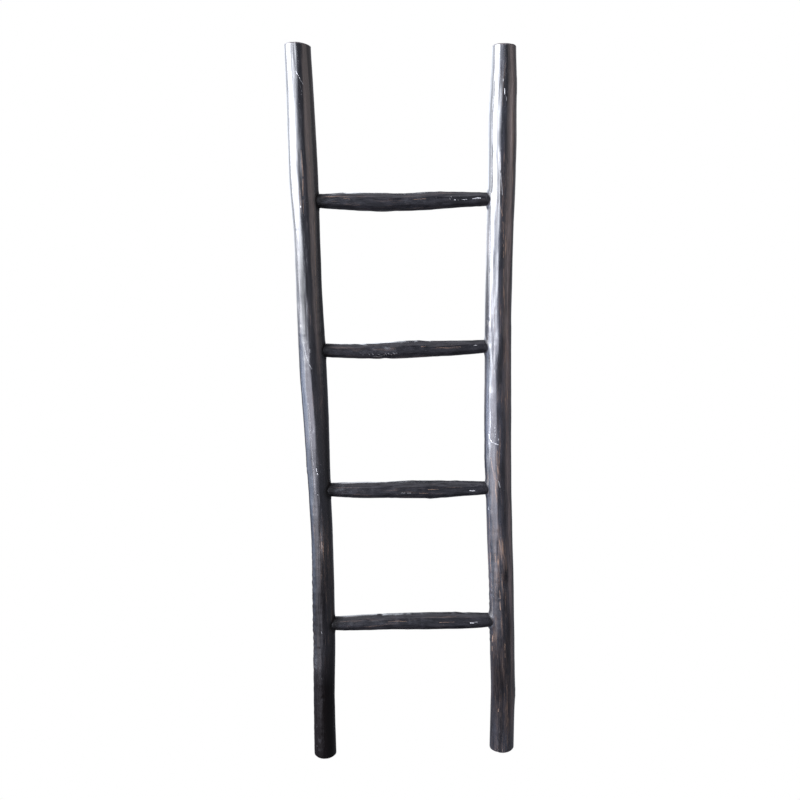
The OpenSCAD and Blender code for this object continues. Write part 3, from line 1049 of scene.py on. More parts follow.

# Thin marks on each rung, given like those on the poles: arc from the front line, and place in
# mm to the right of the ladder's middle, at both ends, and half the width. The pale marks near each
# rung's right end, and the faint ones beside them, are painted glints; the others are chips and
# scratches.
RUNG_MARKS = {
    "top_rung": {
        "pale": (
            (0.6, 100.4, 0.7, 101.8, 1.2), (0.6, 116, 0.2, 125, 0.55),
            (-1.0, 137, -3.4, 146, 0.9), (-3.4, 146, -3.0, 152, 1.0)),
        "faint": (
            (0.8, 107, 0.9, 109, 0.5), (-0.8, 141, -1.4, 149, 0.5), (-7.0, 93, -5.0, 94, 0.5),
            (-3.0, 91, -1.4, 92, 0.5)),
        "bare": ((-5.0, -118, -4.4, -106, 0.5), (-4.2, 20, -4.0, 44, 0.4))},
    "upper_rung": {
        "pale": ((-5.7, 140, -5.8, 142, 0.6),),
        "faint": (
            (-5.6, 138, -5.9, 144, 0.8), (3.6, -76, 7.0, -74, 0.5), (2.5, -70, 4.4, -67, 0.45),
            (4.4, -67, 6.6, -69, 0.45), (9.8, -66, 9.2, -57, 0.5), (9.2, -57, 8.8, -49, 0.5),
            (5.0, -58, 4.8, -54, 0.45), (7.0, -47, 6.4, -45, 0.5), (2.8, -43, 7.0, -41, 0.45),
            (2.6, -37, 4.6, -35, 0.45), (4.6, -32, 7.0, -30, 0.45), (3.0, -27, 5.5, -23, 0.45),
            (4.0, -21, 4.2, -19, 0.5)),
        "bare": (
            (-3.4, 62, -3.2, 84, 0.5), (-3.8, 92, -4.0, 110, 0.4), (-6.4, 30, -6.0, 38, 0.4))},
    "lower_rung": {
        "pale": ((1.6, 128, 2.0, 138, 1.1),),
        "faint": ((2.8, -17, 2.9, -8, 0.5), (2.9, -4, 3.0, 4, 0.5)),
        "bare": ((-4.0, 40, -4.4, 62, 0.4), (3.4, 22, 3.8, 40, 0.4))},
    "bottom_rung": {
        "pale": ((-0.9, 127, -0.6, 134, 1.1),),
        "faint": ((-2.0, 136, -2.6, 142, 0.8),),
        "bare": (
            (-6.0, -50, -6.4, -10, 0.4), (2.2, -92, 2.4, -60, 0.4), (-3.0, 60, -3.6, 92, 0.4))},
}

# Notches and bumps that the knife left on each rung: place and angle as above, height in mm.
RUNG_NICKS = {
    "top_rung": ((42, 90, 0.9), (58, 70, -0.8), (236, 100, 0.6), (150, 250, -0.7)),
    "upper_rung": ((70, 80, -0.7), (186, 95, 0.8), (120, 270, -0.8), (205, 100, -0.6)),
    "lower_rung": ((110, 95, -0.6), (205, 265, 0.8), (228, 270, -0.8), (262, 80, 0.6)),
    "bottom_rung": ((88, 90, 0.8), (100, 90, -0.7), (258, 85, 0.9), (276, 80, -0.8)),
}


# The knife's sides round a rung, how far they drift round it on their way along it, and how
# much they and the hollows between them make of the flats' depth. Its chops run across.
WHITTLED_SIDES = 7.0
SIDE_DRIFT = 1.4
SIDE_WAVES = 9
SIDE_WOBBLE = 2.5
SIDE_SHARE = 0.45
HOLLOW_SHARE = 0.8
CHOP_HEIGHT = 0.22 * MM
# A nick's length along and round the rung.
NICK_LENGTH = 7 * MM
NICK_WIDTH = 10 * MM
# The fuller belly under a rung: its height, angle and spread.
BELLY_HEIGHT = 0.75 * MM
BELLY_ANGLE = 263
BELLY_SPREAD = math.radians(75)
# The surface work fades out this far from the turned necks.
NECK_FADE = 14 * MM


def rung_surface(name, rows, turns, radii, wood, seed):
    """Height of a rung's surface over its smooth skin, and how proud the grain stands."""
    grain = grain_points(rows, turns, radii, RUNG_TWIST)
    along = np.stack([rows * SIDE_WAVES, rows * 0, rows * 0 + seed], axis=1)
    turned = turns[None, :] + SIDE_DRIFT * noise(along, seed)[:, None]
    wobble = SIDE_WOBBLE * noise(cells(grain, RUNG_CELLS["planes"]), seed + 1)
    planes = np.cos(WHITTLED_SIDES * turned + wobble)
    hollows = layered(cells(grain, RUNG_CELLS["flats"]), seed + 2, 3)
    flats = wood.flat_depth * (SIDE_SHARE * planes + HOLLOW_SHARE * hollows)
    coarse = ridged(cells(grain, RUNG_CELLS["furrows"]), seed + 3) - RIDGE_MIDDLE
    fine = noise(cells(grain, RUNG_CELLS["threads"]), seed + 4)
    furrows = wood.grain_depth * (0.9 * coarse + 0.6 * fine)
    height = flats + furrows + CHOP_HEIGHT * noise(cells(grain, RUNG_CELLS["chops"]), seed + 5)
    for place, angle, rise in RUNG_NICKS[name]:
        up = (rows - rows[0] - place * MM)[:, None]
        side = angle_gap(turns, angle)[None, :] * radii
        height += rise * MM * bell(up, NICK_LENGTH) * bell(side, NICK_WIDTH)
    height += BELLY_HEIGHT * bell(angle_gap(turns, BELLY_ANGLE), BELLY_SPREAD)
    ends = np.clip(np.minimum(rows - rows[0], rows[-1] - rows) / NECK_FADE, 0, 1)[:, None]
    return height * ends ** 0.7, standing_proud(coarse, fine, flats, wood), grain


# A rung's rows are closer than a pole's. They stop short of the necks, its skin is read at
# these steps away from them, and the skin blends into the round necks over a short reach.
RUNG_ROW_SHARE = 0.6
NECK_OVERLAP = 0.6 * MM
RUNG_READ_STEP = 6 * MM
RUNG_READ_FROM_END = 2 * MM
RUNG_BLUR = 2.5
NECK_BLEND = 7 * MM
RUNG_SHARP = math.radians(60)
# The painted shade at a rung's left end, where the left pole shades it: its reach, and that of the
# part that also shows in front.
SEAT_REACH = 14 * MM
SEAT_FRONT_REACH = 6 * MM
SEAT_FRONT_ANGLE = 188
SEAT_FRONT_SPREAD = math.radians(38)
SEAT_FRONT_LIGHT = 0.7
# The painted shade at the right end is weaker and shorter.
RIGHT_SEAT = 0.3
RIGHT_SEAT_REACH = 3 * MM


# Where a turned end has its rings of points, as shares of the way: out over the tenon's face, back
# along the tenon, out over the shoulder and back along the neck. The shoulder's edge is eased.
FACE_RINGS = (0.1, 0.4, 0.7)
FACE_SHARE = 0.85
TENON_RINGS = (0.25, 0.5, 0.75, 1.0)
SHOULDER_RINGS = (0.5, 0.9)
NECK_RINGS = (0.35, 0.7, 1.0)
SHOULDER_EDGE = 0.3 * MM


def turned_end(joint):
    """The rings of a rung's tenon, shoulder and neck, from its end inwards."""
    out = joint["side"]
    end, shoulder, neck_end = joint["end"], joint["shoulder"], joint["neck_end"]
    tenon, neck, bevel = joint["tenon"], joint["neck"], joint["bevel"]
    profile = [(tenon * share * FACE_SHARE, end) for share in FACE_RINGS]
    profile += [(tenon - bevel, end), (tenon, end - out * bevel)]
    profile += [(tenon, end + (shoulder - end) * share) for share in TENON_RINGS]
    profile += [(tenon + (neck - tenon) * share, shoulder) for share in SHOULDER_RINGS]
    profile += [(neck, shoulder - out * SHOULDER_EDGE)]
    profile += [(neck, shoulder + (neck_end - shoulder) * share) for share in NECK_RINGS]
    return lathe(profile, np.array([joint["y"], joint["z"]]), RUNG_COLUMNS)


def rung_painted_shade(rows, turns):
    """How dark the painted shade is on a rung where it enters the poles, from 0 to 1."""
    from_left = rows - rows[0]
    front = bell(angle_gap(turns, SEAT_FRONT_ANGLE), SEAT_FRONT_SPREAD)[None, :]
    left = bell(from_left, SEAT_REACH)[:, None] * (1 - SEAT_FRONT_LIGHT * front)
    left = np.maximum(left, bell(from_left, SEAT_FRONT_REACH)[:, None])
    return np.maximum(left, RIGHT_SEAT * bell(rows[-1] - rows, RIGHT_SEAT_REACH)[:, None])


def make_rung(name, wood, seed):
    """One whittled rung with a turned neck and tenon at each end."""
    left, right = read_joint(name, -1), read_joint(name, 1)
    step = wood.row_step * RUNG_ROW_SHARE
    rows = even_rows(left["neck_end"] + NECK_OVERLAP, right["neck_end"] - NECK_OVERLAP, step)
    stations = even_rows(
        rows[0] + RUNG_READ_FROM_END, rows[-1] - RUNG_READ_FROM_END, RUNG_READ_STEP)
    turns = round_turns(RUNG_COLUMNS)
    centres, radii = fine_skin(name, RUNG_WAYS, rows, stations, RUNG_COLUMNS, RUNG_BLUR)
    for joint, away in ((left, rows - rows[0]), (right, rows[-1] - rows)):
        part = bell(away, NECK_BLEND)[:, None]
        centres = centres + part * (np.array([joint["y"], joint["z"]]) - centres)
        radii = radii + part * (joint["neck"] - radii)
    height, proud, grain = rung_surface(name, rows, turns, radii, wood, seed)
    body = rings_of(centres, radii, rows, turns, height)
    first = turned_end(left)
    last = turned_end(right)[::-1]
    points = np.vstack([first, body, last])

    middle = np.array([centres[:, 0].mean(), centres[:, 1].mean(), 0])
    rubs = streaks(RUNG_RUBS[name], (rows - rows[0]) / MM, turns, radii, MM)
    none = np.zeros(radii.shape)
    marks = {
        "grain": np.concatenate([first - middle, grain, last - middle]),
        "skin": skin_places(turns, radii, points, math.pi),
        "proud": with_ends(first, last, proud, 0.5),
        "rub": with_ends(first, last, rubs, 0.0),
        "sawn": with_ends(first, last, none, 0.0),
        "seat": with_ends(first, last, rung_painted_shade(rows, turns), 1.0, RIGHT_SEAT),
        "faded_and_lit": with_ends(first, last, none, 0.0),
        "deep": with_ends(first, last, none, 0.0),
    }
    piece = grid_mesh(f"{name}_wood", points, RUNG_WAYS, marks)
    nails = read_nails(NAIL_NODES[0], [left]) + read_nails(NAIL_NODES[1], [right])
    holes = [nail_hole(nail) for nail in nails]
    cut_with(piece, [joined(f"{name}_nail_cutter", holes, NAIL_WAYS)])
    piece.data.set_sharp_from_angle(angle=RUNG_SHARP)
    return piece


# A nail's head from its middle out: share of its radius, and how far it is dished in mm.
HEAD_DISH = ((0.1, 0.18), (0.35, 0.15), (0.6, 0.06), (0.82, 0.0), (0.95, 0.08), (1.0, 0.25))
# The edge of its underside: how high it is rounded, and its radius as a share of the head's.
HEAD_EDGE = 0.25 * MM
HEAD_UNDER = 0.93
# How thick the start of the shank is, as a share of the shank, and how long it is.
COLLAR_THICK = 1.25
COLLAR_LENGTH = 0.5 * MM
# Grip rings under the head: how many, the first one's distance and their pitch in mm, how thick
# the shank is in them, and half a ring's length.
SHANK_RINGS = 6
FIRST_RING = 1.2
RING_PITCH = 0.8
RING_SHARE = 0.93
HALF_RING = 0.2 * MM
# How thick the cut point is on its way and at its tip, as shares of the shank.
POINT_THICK = 0.55
TIP_THICK = 0.12
# The hammer's dents in the head, and how square the cut point is.
HAMMER_DENTS = 0.05 * MM
DENT_CELL = 1.1 * MM
HAMMER_SEED = 5
SQUARENESS = 0.12


def make_nail(name, nail):
    """One wire nail: a dished and hammered head, a ringed shank and a cut point."""
    head, shank = nail["head"], nail["shank"]
    top, under, point, tip = (-nail[key] for key in ("top", "under_head", "point", "tip"))
    profile = [(share * head, top + dish * MM) for share, dish in HEAD_DISH]
    profile += [
        (head, under - HEAD_EDGE), (HEAD_UNDER * head, under),
        (shank * COLLAR_THICK, under), (shank, under + COLLAR_LENGTH)]
    for ring in range(SHANK_RINGS):
        start = under + (FIRST_RING + ring * RING_PITCH) * MM
        profile += [
            (shank, start), (shank * RING_SHARE, start + HALF_RING),
            (shank, start + 2 * HALF_RING)]
    profile += [
        (shank, point), (shank * POINT_THICK, (point + 2 * tip) / 3), (shank * TIP_THICK, tip)]
    middle = np.array([nail["x"], nail["z"]])
    points = lathe(profile, middle, NAIL_COLUMNS)
    face = points[:len(HEAD_DISH) - 1]
    face[..., 2] += HAMMER_DENTS * (1 + noise(face / DENT_CELL, HAMMER_SEED))
    square = 1 - SQUARENESS * np.cos(4 * round_turns(NAIL_COLUMNS))[:, None]
    points[-2:, :, :2] = middle + (points[-2:, :, :2] - middle) * np.minimum(square, 1)
    return grid_mesh(name, points, NAIL_WAYS, {})


# Materials

class Nodes:
    """Adds shader nodes and links to a tree."""

    def __init__(self, tree):
        self.tree = tree
        self.column = 0

    def add(self, kind, settings=None, **sockets):
        """Adds a node. Sockets are given by name, with _ for a space, as a value or an output."""
        node = self.tree.nodes.new(kind)
        node.location = (self.column * 30, -(self.column % 7) * 160)
        self.column += 1
        for key, value in (settings or {}).items():
            setattr(node, key, value)
        for key, value in sockets.items():
            self.feed(node, key.replace("_", " "), value)
        return node

    def feed(self, node, key, value):
        """Sets or links one input, found by name or by number."""
        socket = node.inputs[int(key[1:])] if key[:1] == "#" else node.inputs[key]
        if isinstance(value, bpy.types.NodeSocket):
            self.tree.links.new(value, socket)
        else:
            socket.default_value = value

    def math(self, operation, first, second=0.0, third=0.0, clamp=False):
        """The result of a sum on one, two or three values."""
        node = self.tree.nodes.new("ShaderNodeMath")
        node.operation = operation
        node.use_clamp = clamp
        for number, value in enumerate((first, second, third)):
            self.feed(node, f"#{number}", value)
        return node.outputs[0]

    def weighted(self, total, *parts, clamp=False):
        """A total with further values added to it, each times its own weight."""
        for number, (value, weight) in enumerate(parts):
            last = number == len(parts) - 1
            part = self.math("MULTIPLY", value, weight)
            total = self.math("ADD", total, part, clamp=clamp and last)
        return total

    def mix(self, factor, first, second):
        """A colour between two colours."""
        node = self.tree.nodes.new("ShaderNodeMix")
        node.data_type = "RGBA"
        self.feed(node, "#0", factor)
        self.feed(node, "#6", first)
        self.feed(node, "#7", second)
        return node.outputs[2]

    def ramp(self, value, low, high):
        """0 under the low value and 1 over the high value, with a smooth step between."""
        node = self.tree.nodes.new("ShaderNodeMapRange")
        node.interpolation_type = "SMOOTHSTEP"
        self.feed(node, "Value", value)
        self.feed(node, "From Min", low)
        self.feed(node, "From Max", high)
        return node.outputs[0]

    def vector(self, operation, first, second, output="Vector"):
        """The result of a sum on two vectors."""
        node = self.add("ShaderNodeVectorMath", {"operation": operation})
        self.feed(node, "#0", first)
        self.feed(node, "#1", second)
        return node.outputs[output]

    def scaled(self, vector, share):
        """A vector times a value."""
        node = self.add("ShaderNodeVectorMath", {"operation": "SCALE"}, Scale=share)
        self.feed(node, "#0", vector)
        return node.outputs[0]

    def stretched_noise(self, vector, scale, detail=3.0, roughness=0.55):
        """Noise that is scaled by different amounts in the three directions."""
        mapping = self.tree.nodes.new("ShaderNodeMapping")
        self.feed(mapping, "Vector", vector)
        mapping.inputs["Scale"].default_value = scale
        node = self.tree.nodes.new("ShaderNodeTexNoise")
        self.feed(node, "Vector", mapping.outputs[0])
        self.feed(node, "Scale", 1.0)
        self.feed(node, "Detail", detail)
        self.feed(node, "Roughness", roughness)
        return node.outputs["Fac"]


def new_group(name, inputs, outputs):
    """An empty shader node group with named sockets, and its input and output nodes."""
    group = bpy.data.node_groups.new(name, "ShaderNodeTree")
    kinds = {"value": "NodeSocketFloat", "colour": "NodeSocketColor", "vector": "NodeSocketVector"}
    for label, kind in inputs:
        group.interface.new_socket(label, in_out="INPUT", socket_type=kinds[kind])
    for label, kind in outputs:
        group.interface.new_socket(label, in_out="OUTPUT", socket_type=kinds[kind])
    return Nodes(group), group.nodes.new("NodeGroupInput"), group.nodes.new("NodeGroupOutput")


def give(nodes, result, **values):
    """Links a group's results to its named outputs, and returns the finished group."""
    for key, value in values.items():
        nodes.tree.links.new(value, result.inputs[key.replace("_", " ")])
    return nodes.tree


def socket_list(kind, *labels):
    """Named sockets of one kind."""
    return [(label, kind) for label in labels]


def grain_group():
    """Long fibres, broad figure and fine pores that run with the grain."""
    nodes, given, result = new_group(
        "Stick Grain", socket_list("vector", "Grain"),
        socket_list("value", "Fibre", "Streak", "Figure", "Pores", "Fleck", "Mottle"))
    vector = given.outputs["Grain"]
    wide = nodes.stretched_noise(vector, (230, 230, 8), 2, 0.5)
    thin = nodes.stretched_noise(vector, (640, 640, 24), 3, 0.6)
    half = nodes.math("MULTIPLY", wide, 0.5)
    return give(
        nodes, result,
        Fibre=nodes.stretched_noise(vector, (1100, 1100, 34), 4, 0.6),
        Streak=nodes.weighted(half, (thin, 0.5)),
        Figure=nodes.stretched_noise(vector, (38, 38, 7), 3, 0.55),
        Pores=nodes.stretched_noise(vector, (2200, 2200, 160), 2, 0.6),
        Fleck=nodes.stretched_noise(vector, (270, 270, 42), 3, 0.6),
        Mottle=nodes.stretched_noise(vector, (110, 110, 45), 4, 0.6))


# How much each thing counts towards the stain being rubbed, and the levels between which it
# thins and goes.
RUB_WEIGHTS = {
    "Fibre": 0.35, "Fleck": 0.40, "Proud": 0.12, "Figure": 0.35, "Amount": 0.12, "Rub": 0.24}
STREAK_WEIGHT = 0.8
THIN_LEVELS = (1.12, 1.30)
BARE_LEVELS = (1.27, 1.38)


def rub_group():
    """Where the stain is rubbed thin and where it is rubbed off, on the proud grain."""
    nodes, given, result = new_group(
        "Rubbed Edges", socket_list("value", "Streak", *RUB_WEIGHTS),
        socket_list("value", "Thin", "Bare"))
    level = nodes.weighted(
        nodes.math("MULTIPLY", given.outputs["Streak"], STREAK_WEIGHT),
        *((given.outputs[key], weight) for key, weight in RUB_WEIGHTS.items()))
    return give(
        nodes, result, Thin=nodes.ramp(level, *THIN_LEVELS), Bare=nodes.ramp(level, *BARE_LEVELS))


# Where a mark's edge starts and ends, as shares of its half width, and how far its line wanders
# to either side in mm.
MARK_EDGE = (0.35, 1.25)
MARK_WANDER = 0.8


def score_group():
    """A thin mark between two places on the unrolled skin."""
    nodes, given, result = new_group(
        "Score Mark",
        socket_list("vector", "Skin", "From", "To") + socket_list("value", "Half Width"),
        socket_list("value", "Mark"))
    start = given.outputs["From"]
    way = nodes.vector("SUBTRACT", given.outputs["To"], start)
    off = nodes.vector("SUBTRACT", given.outputs["Skin"], start)
    done = nodes.vector("DOT_PRODUCT", off, way, "Value")
    whole = nodes.vector("DOT_PRODUCT", way, way, "Value")
    share = nodes.math("DIVIDE", done, whole, clamp=True)
    gap = nodes.vector("SUBTRACT", off, nodes.scaled(way, share))
    length = nodes.add("ShaderNodeVectorMath", {"operation": "LENGTH"})
    nodes.feed(length, "#0", gap)
    across = nodes.math("DIVIDE", length.outputs["Value"], given.outputs["Half Width"])
    return give(nodes, result, Mark=nodes.math("SUBTRACT", 1.0, nodes.ramp(across, *MARK_EDGE)))


# How thin a hairline is, and the levels of noise between which the patches of hairlines, the
# specks of dust and their patches set in.
HAIRLINE_WIDTH = 0.006
HAIRLINE_PATCH = (0.60, 0.68)
DUST_SPECK = (0.70, 0.76)
DUST_PATCH = (0.57, 0.66)


def dust_group():
    """Stray hairline scratches and specks of dust in patches."""
    nodes, given, result = new_group(
        "Dust And Hairlines", socket_list("vector", "Grain", "Place"),
        socket_list("value", "Hairline", "Dust"))
    place = given.outputs["Place"]
    line = nodes.stretched_noise(given.outputs["Grain"], (700, 500, 9), 1, 0.5)
    near = nodes.math("ABSOLUTE", nodes.math("SUBTRACT", line, 0.5))
    thin = nodes.math("SUBTRACT", 1.0, nodes.ramp(near, 0.0, HAIRLINE_WIDTH))
    patch = nodes.stretched_noise(place, (16, 16, 11), 2, 0.5)
    speck = nodes.stretched_noise(place, (620, 620, 420), 1, 0.5)
    area = nodes.stretched_noise(place, (30, 30, 14), 1, 0.5)
    return give(
        nodes, result,
        Hairline=nodes.math("MULTIPLY", thin, nodes.ramp(patch, *HAIRLINE_PATCH)),
        Dust=nodes.math(
            "MULTIPLY", nodes.ramp(speck, *DUST_SPECK), nodes.ramp(area, *DUST_PATCH)))


# How fast the growth rings follow each other outwards, in radians a metre, how far they wobble,
# and the levels of noise between which the dark checks set in.
RING_PACE = 3600.0
RING_WOBBLE = 0.006
CHECK_LEVELS = (0.58, 0.66)


def end_ring_group():
    """Growth rings and dark checks of a sawn end."""
    nodes, given, result = new_group(
        "End Rings", socket_list("vector", "Grain"), socket_list("value", "Ring", "Check"))
    grain = given.outputs["Grain"]
    split = nodes.add("ShaderNodeSeparateXYZ", Vector=grain)
    wobble = nodes.stretched_noise(grain, (60, 60, 60), 2, 0.5)
    across = nodes.math("POWER", split.outputs["X"], 2.0)
    over = nodes.math("POWER", split.outputs["Y"], 2.0)
    radius = nodes.math("SQRT", nodes.math("ADD", across, over))
    radius = nodes.weighted(radius, (wobble, RING_WOBBLE))
    ring = nodes.math("SINE", nodes.math("MULTIPLY", radius, RING_PACE))
    check = nodes.stretched_noise(grain, (260, 260, 4), 2, 0.5)
    return give(
        nodes, result, Ring=nodes.math("MULTIPLY_ADD", ring, 0.5, 0.5),
        Check=nodes.ramp(check, *CHECK_LEVELS))


def new_material(name):
    """A material with an empty tree and its output node."""
    material = bpy.data.materials.new(name)
    material.use_nodes = True
    material.node_tree.nodes.clear()
    nodes = Nodes(material.node_tree)
    return material, nodes, nodes.add("ShaderNodeOutputMaterial")


def placed(nodes, group, **sockets):
    """Places a node group in a material."""
    node = nodes.tree.nodes.new("ShaderNodeGroup")
    node.node_tree = group
    for key, value in sockets.items():
        nodes.feed(node, key.replace("_", " "), value)
    return node


def mark_value(nodes, name, output="Fac"):
    """What the mesh carries for each point under a name."""
    return nodes.add("ShaderNodeAttribute", {"attribute_name": name}).outputs[output]


def full(colour):
    """A colour with full alpha."""
    return (*colour, 1.0)


def drawn_marks(nodes, group, marks):
    """The pale marks, the faint marks and the bare marks of one stick."""
    place = nodes.add("ShaderNodeTexCoord").outputs["Object"]
    shift = nodes.stretched_noise(place, (420, 420, 300), 2, 0.6)
    shift = nodes.math("MULTIPLY_ADD", shift, 2 * MARK_WANDER, -MARK_WANDER)
    both = nodes.add("ShaderNodeCombineXYZ", X=shift, Y=shift)
    skin = nodes.vector("ADD", mark_value(nodes, "skin", "Vector"), both.outputs[0])
    totals = []
    for kind in ("pale", "faint", "bare"):
        total = 0.0
        for arc, along, arc_end, along_end, half_width in marks.get(kind, ()):
            mark = placed(
                nodes, group, Skin=skin, From=(arc, along, 0.0), To=(arc_end, along_end, 0.0),
                Half_Width=half_width)
            total = nodes.math("MAXIMUM", mark.outputs["Mark"], total)
        totals.append(total)
    return totals


# How each stick is finished: its wear over the common wear, its tint, how much haze lies on the
# stain, and how rough the lacquer's gloss is. The right pole's lighter tint is painted light.
STICK_FINISH = {
    "left_rail": (-0.15, "left_tint", 0.10, 0.11),
    "right_rail": (0.15, "right_pole_lit_tint", 0.14, 0.13),
    "rung": (-0.1, "rung_tint", 0.22, 0.16),
}


# The levels of noise between which each layer of the finish sets in.
TINT_LEVELS = (0.36, 0.64)
FADED_LEVELS = (0.46, 0.62)
HAZE_LEVELS = (0.44, 0.66)
SUNNED_LEVELS = (0.30, 0.60)
FRESH_LEVELS = (0.40, 0.66)
# How much of each layer shows where it is whole.
LAYER_SHARES = {
    "faded": 0.16, "thin": 0.55, "deep": 0.97, "ring": 0.6, "seat": 0.8, "bare": 0.9,
    "stray": 0.22, "faint": 0.38}
# What each thing adds to the roughness, to the height of the bump and to the coat.
ROUGHNESS = {"fibre": 0.12, "rubbed": 0.16, "seat": 0.25, "sawn": 0.35, "light": 0.25}
HEIGHTS = {"fibre": 0.12, "streak": 0.8, "pores": 0.04, "rubbed": -0.10, "light": 0.3}
# The seat and deep marks are painted shade. They also take most of the coat away, so they reflect
# little.
COATING = {"whole": 0.9, "rubbed": -0.35, "seat": -0.9, "deep": -0.9}


def stained_wood(name, groups, finish, kind, marks):
    """Black-stained wood, rubbed through to brown along the grain, under a thin satin lacquer, with
    painted shade and painted light.
    """
    wear, tint, haze, gloss = STICK_FINISH[kind]
    material, nodes, output = new_material(name)
    grain = mark_value(nodes, "grain", "Vector")
    place = nodes.add("ShaderNodeTexCoord").outputs["Object"]
    wood = placed(nodes, groups["grain"], Grain=grain).outputs
    pale, faint, bare = drawn_marks(nodes, groups["score"], marks)
    rub = placed(
        nodes, groups["rub"], Streak=wood["Streak"], Fibre=wood["Fibre"], Figure=wood["Figure"],
        Proud=mark_value(nodes, "proud"), Fleck=wood["Fleck"], Rub=mark_value(nodes, "rub"),
        Amount=finish.wear + wear).outputs
    dust = placed(nodes, groups["dust"], Grain=grain, Place=place).outputs
    rings = placed(nodes, groups["rings"], Grain=grain).outputs
    sawn, seat, deep, faded_and_lit = (mark_value(nodes, key) for key in ("sawn", "seat", "deep", "faded_and_lit"))

    def over(factor, part, first, second):
        return nodes.mix(nodes.math("MULTIPLY", factor, part), first, full(second))

    share = LAYER_SHARES
    thin_places = nodes.ramp(wood["Figure"], *TINT_LEVELS)
    stain = nodes.mix(thin_places, full(finish.stain), full(getattr(finish, tint)))
    stain = over(nodes.ramp(wood["Streak"], *FADED_LEVELS), share["faded"], stain, finish.faded)
    stain = over(nodes.ramp(wood["Mottle"], *HAZE_LEVELS), haze, stain, finish.faded)
    # Pale streaks, partly faded stain and partly painted light.
    stain = over(nodes.ramp(wood["Streak"], *SUNNED_LEVELS), faded_and_lit, stain, finish.faded_and_lit_colour)
    fresh = nodes.ramp(wood["Fibre"], *FRESH_LEVELS)
    brown = nodes.mix(fresh, full(finish.brown), full(finish.orange))
    colour = over(rub["Thin"], share["thin"], stain, finish.brown)
    colour = nodes.mix(rub["Bare"], colour, brown)
    # Painted shade in the deep places.
    colour = over(deep, share["deep"], colour, finish.deep)
    end_colour = over(rings["Ring"], share["ring"], full(finish.faded), finish.brown)
    end_colour = nodes.mix(rings["Check"], end_colour, full(finish.stain))
    colour = nodes.mix(sawn, colour, end_colour)
    # Painted shade where the sticks meet.
    colour = over(seat, share["seat"], colour, finish.seat)
    colour = nodes.mix(nodes.math("MULTIPLY", bare, share["bare"]), colour, brown)
    stray = nodes.math("MAXIMUM", dust["Hairline"], dust["Dust"])
    light = nodes.math("MAXIMUM", pale, nodes.math("MULTIPLY", stray, share["stray"]))
    light = nodes.math("MAXIMUM", light, nodes.math("MULTIPLY", faint, share["faint"]))
    # Pale scuffs and chips, and painted glints and highlight lines.
    colour = nodes.mix(light, colour, full(finish.scuff_and_painted_glint))

    things = {
        "streak": wood["Streak"], "pores": wood["Pores"], "rubbed": rub["Bare"], "seat": seat,
        "sawn": sawn, "light": light, "deep": deep}

    def adding(weights):
        return [(things[thing], weight) for thing, weight in list(weights.items())[1:]]

    rough = nodes.math("MULTIPLY_ADD", wood["Fibre"], ROUGHNESS["fibre"], gloss)
    rough = nodes.weighted(rough, *adding(ROUGHNESS), clamp=True)
    height = nodes.math("MULTIPLY", wood["Fibre"], HEIGHTS["fibre"])
    height = nodes.weighted(height, *adding(HEIGHTS))
    coat = nodes.weighted(COATING["whole"], *adding(COATING), clamp=True)
    bump = nodes.add("ShaderNodeBump", Height=height, Strength=1.0, Distance=1.0 * MM)
    shader = nodes.add(
        "ShaderNodeBsdfPrincipled", Base_Color=colour, Roughness=rough, Normal=bump.outputs[0],
        Coat_Weight=coat, Coat_Roughness=0.15, Coat_IOR=1.9, IOR=1.4)
    nodes.tree.links.new(shader.outputs[0], output.inputs["Surface"])
    return material


def nail_steel(finish):
    """Dull steel under remains of black stain."""
    material, nodes, output = new_material("nail_steel")
    place = nodes.add("ShaderNodeTexCoord").outputs["Object"]
    blotch = nodes.stretched_noise(place, (700, 700, 700), 4, 0.6)
    fine = nodes.stretched_noise(place, (3000, 3000, 3000), 2, 0.6)
    worn = nodes.ramp(blotch, 0.45, 0.60)
    colour = nodes.mix(worn, full(finish.stain), full(finish.steel))
    rough = nodes.math("MULTIPLY_ADD", fine, 0.3, 0.3)
    metal = nodes.math("MULTIPLY", worn, 0.9)
    bump = nodes.add("ShaderNodeBump", Height=fine, Strength=0.3, Distance=0.05 * MM)
    shader = nodes.add(
        "ShaderNodeBsdfPrincipled", Base_Color=colour, Roughness=rough, Metallic=metal,
        Normal=bump.outputs[0])
    nodes.tree.links.new(shader.outputs[0], output.inputs["Surface"])
    return material


SHARED = {}


def shared_groups():
    """The node groups that more than one material uses, made once."""
    if not SHARED:
        SHARED.update({
            "grain": grain_group(), "rub": rub_group(), "score": score_group(),
            "dust": dust_group(), "rings": end_ring_group()})
    return SHARED


def dress(piece, node, material):
    """Gives a new piece its material and its body, and hides the node that it stands for."""
    piece.data.materials.clear()
    piece.data.materials.append(material)
    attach(piece, "root")
    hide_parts(node)


# The view and the light

CAMERA_PLACE = (-0.041, -1.926, 1.189)
CAMERA_YAW = math.radians(0.78)
CAMERA_PITCH = math.radians(-11.49)
CAMERA_ROLL = math.radians(-1.15)
CAMERA_LENS = 42.75
SENSOR = 36.0


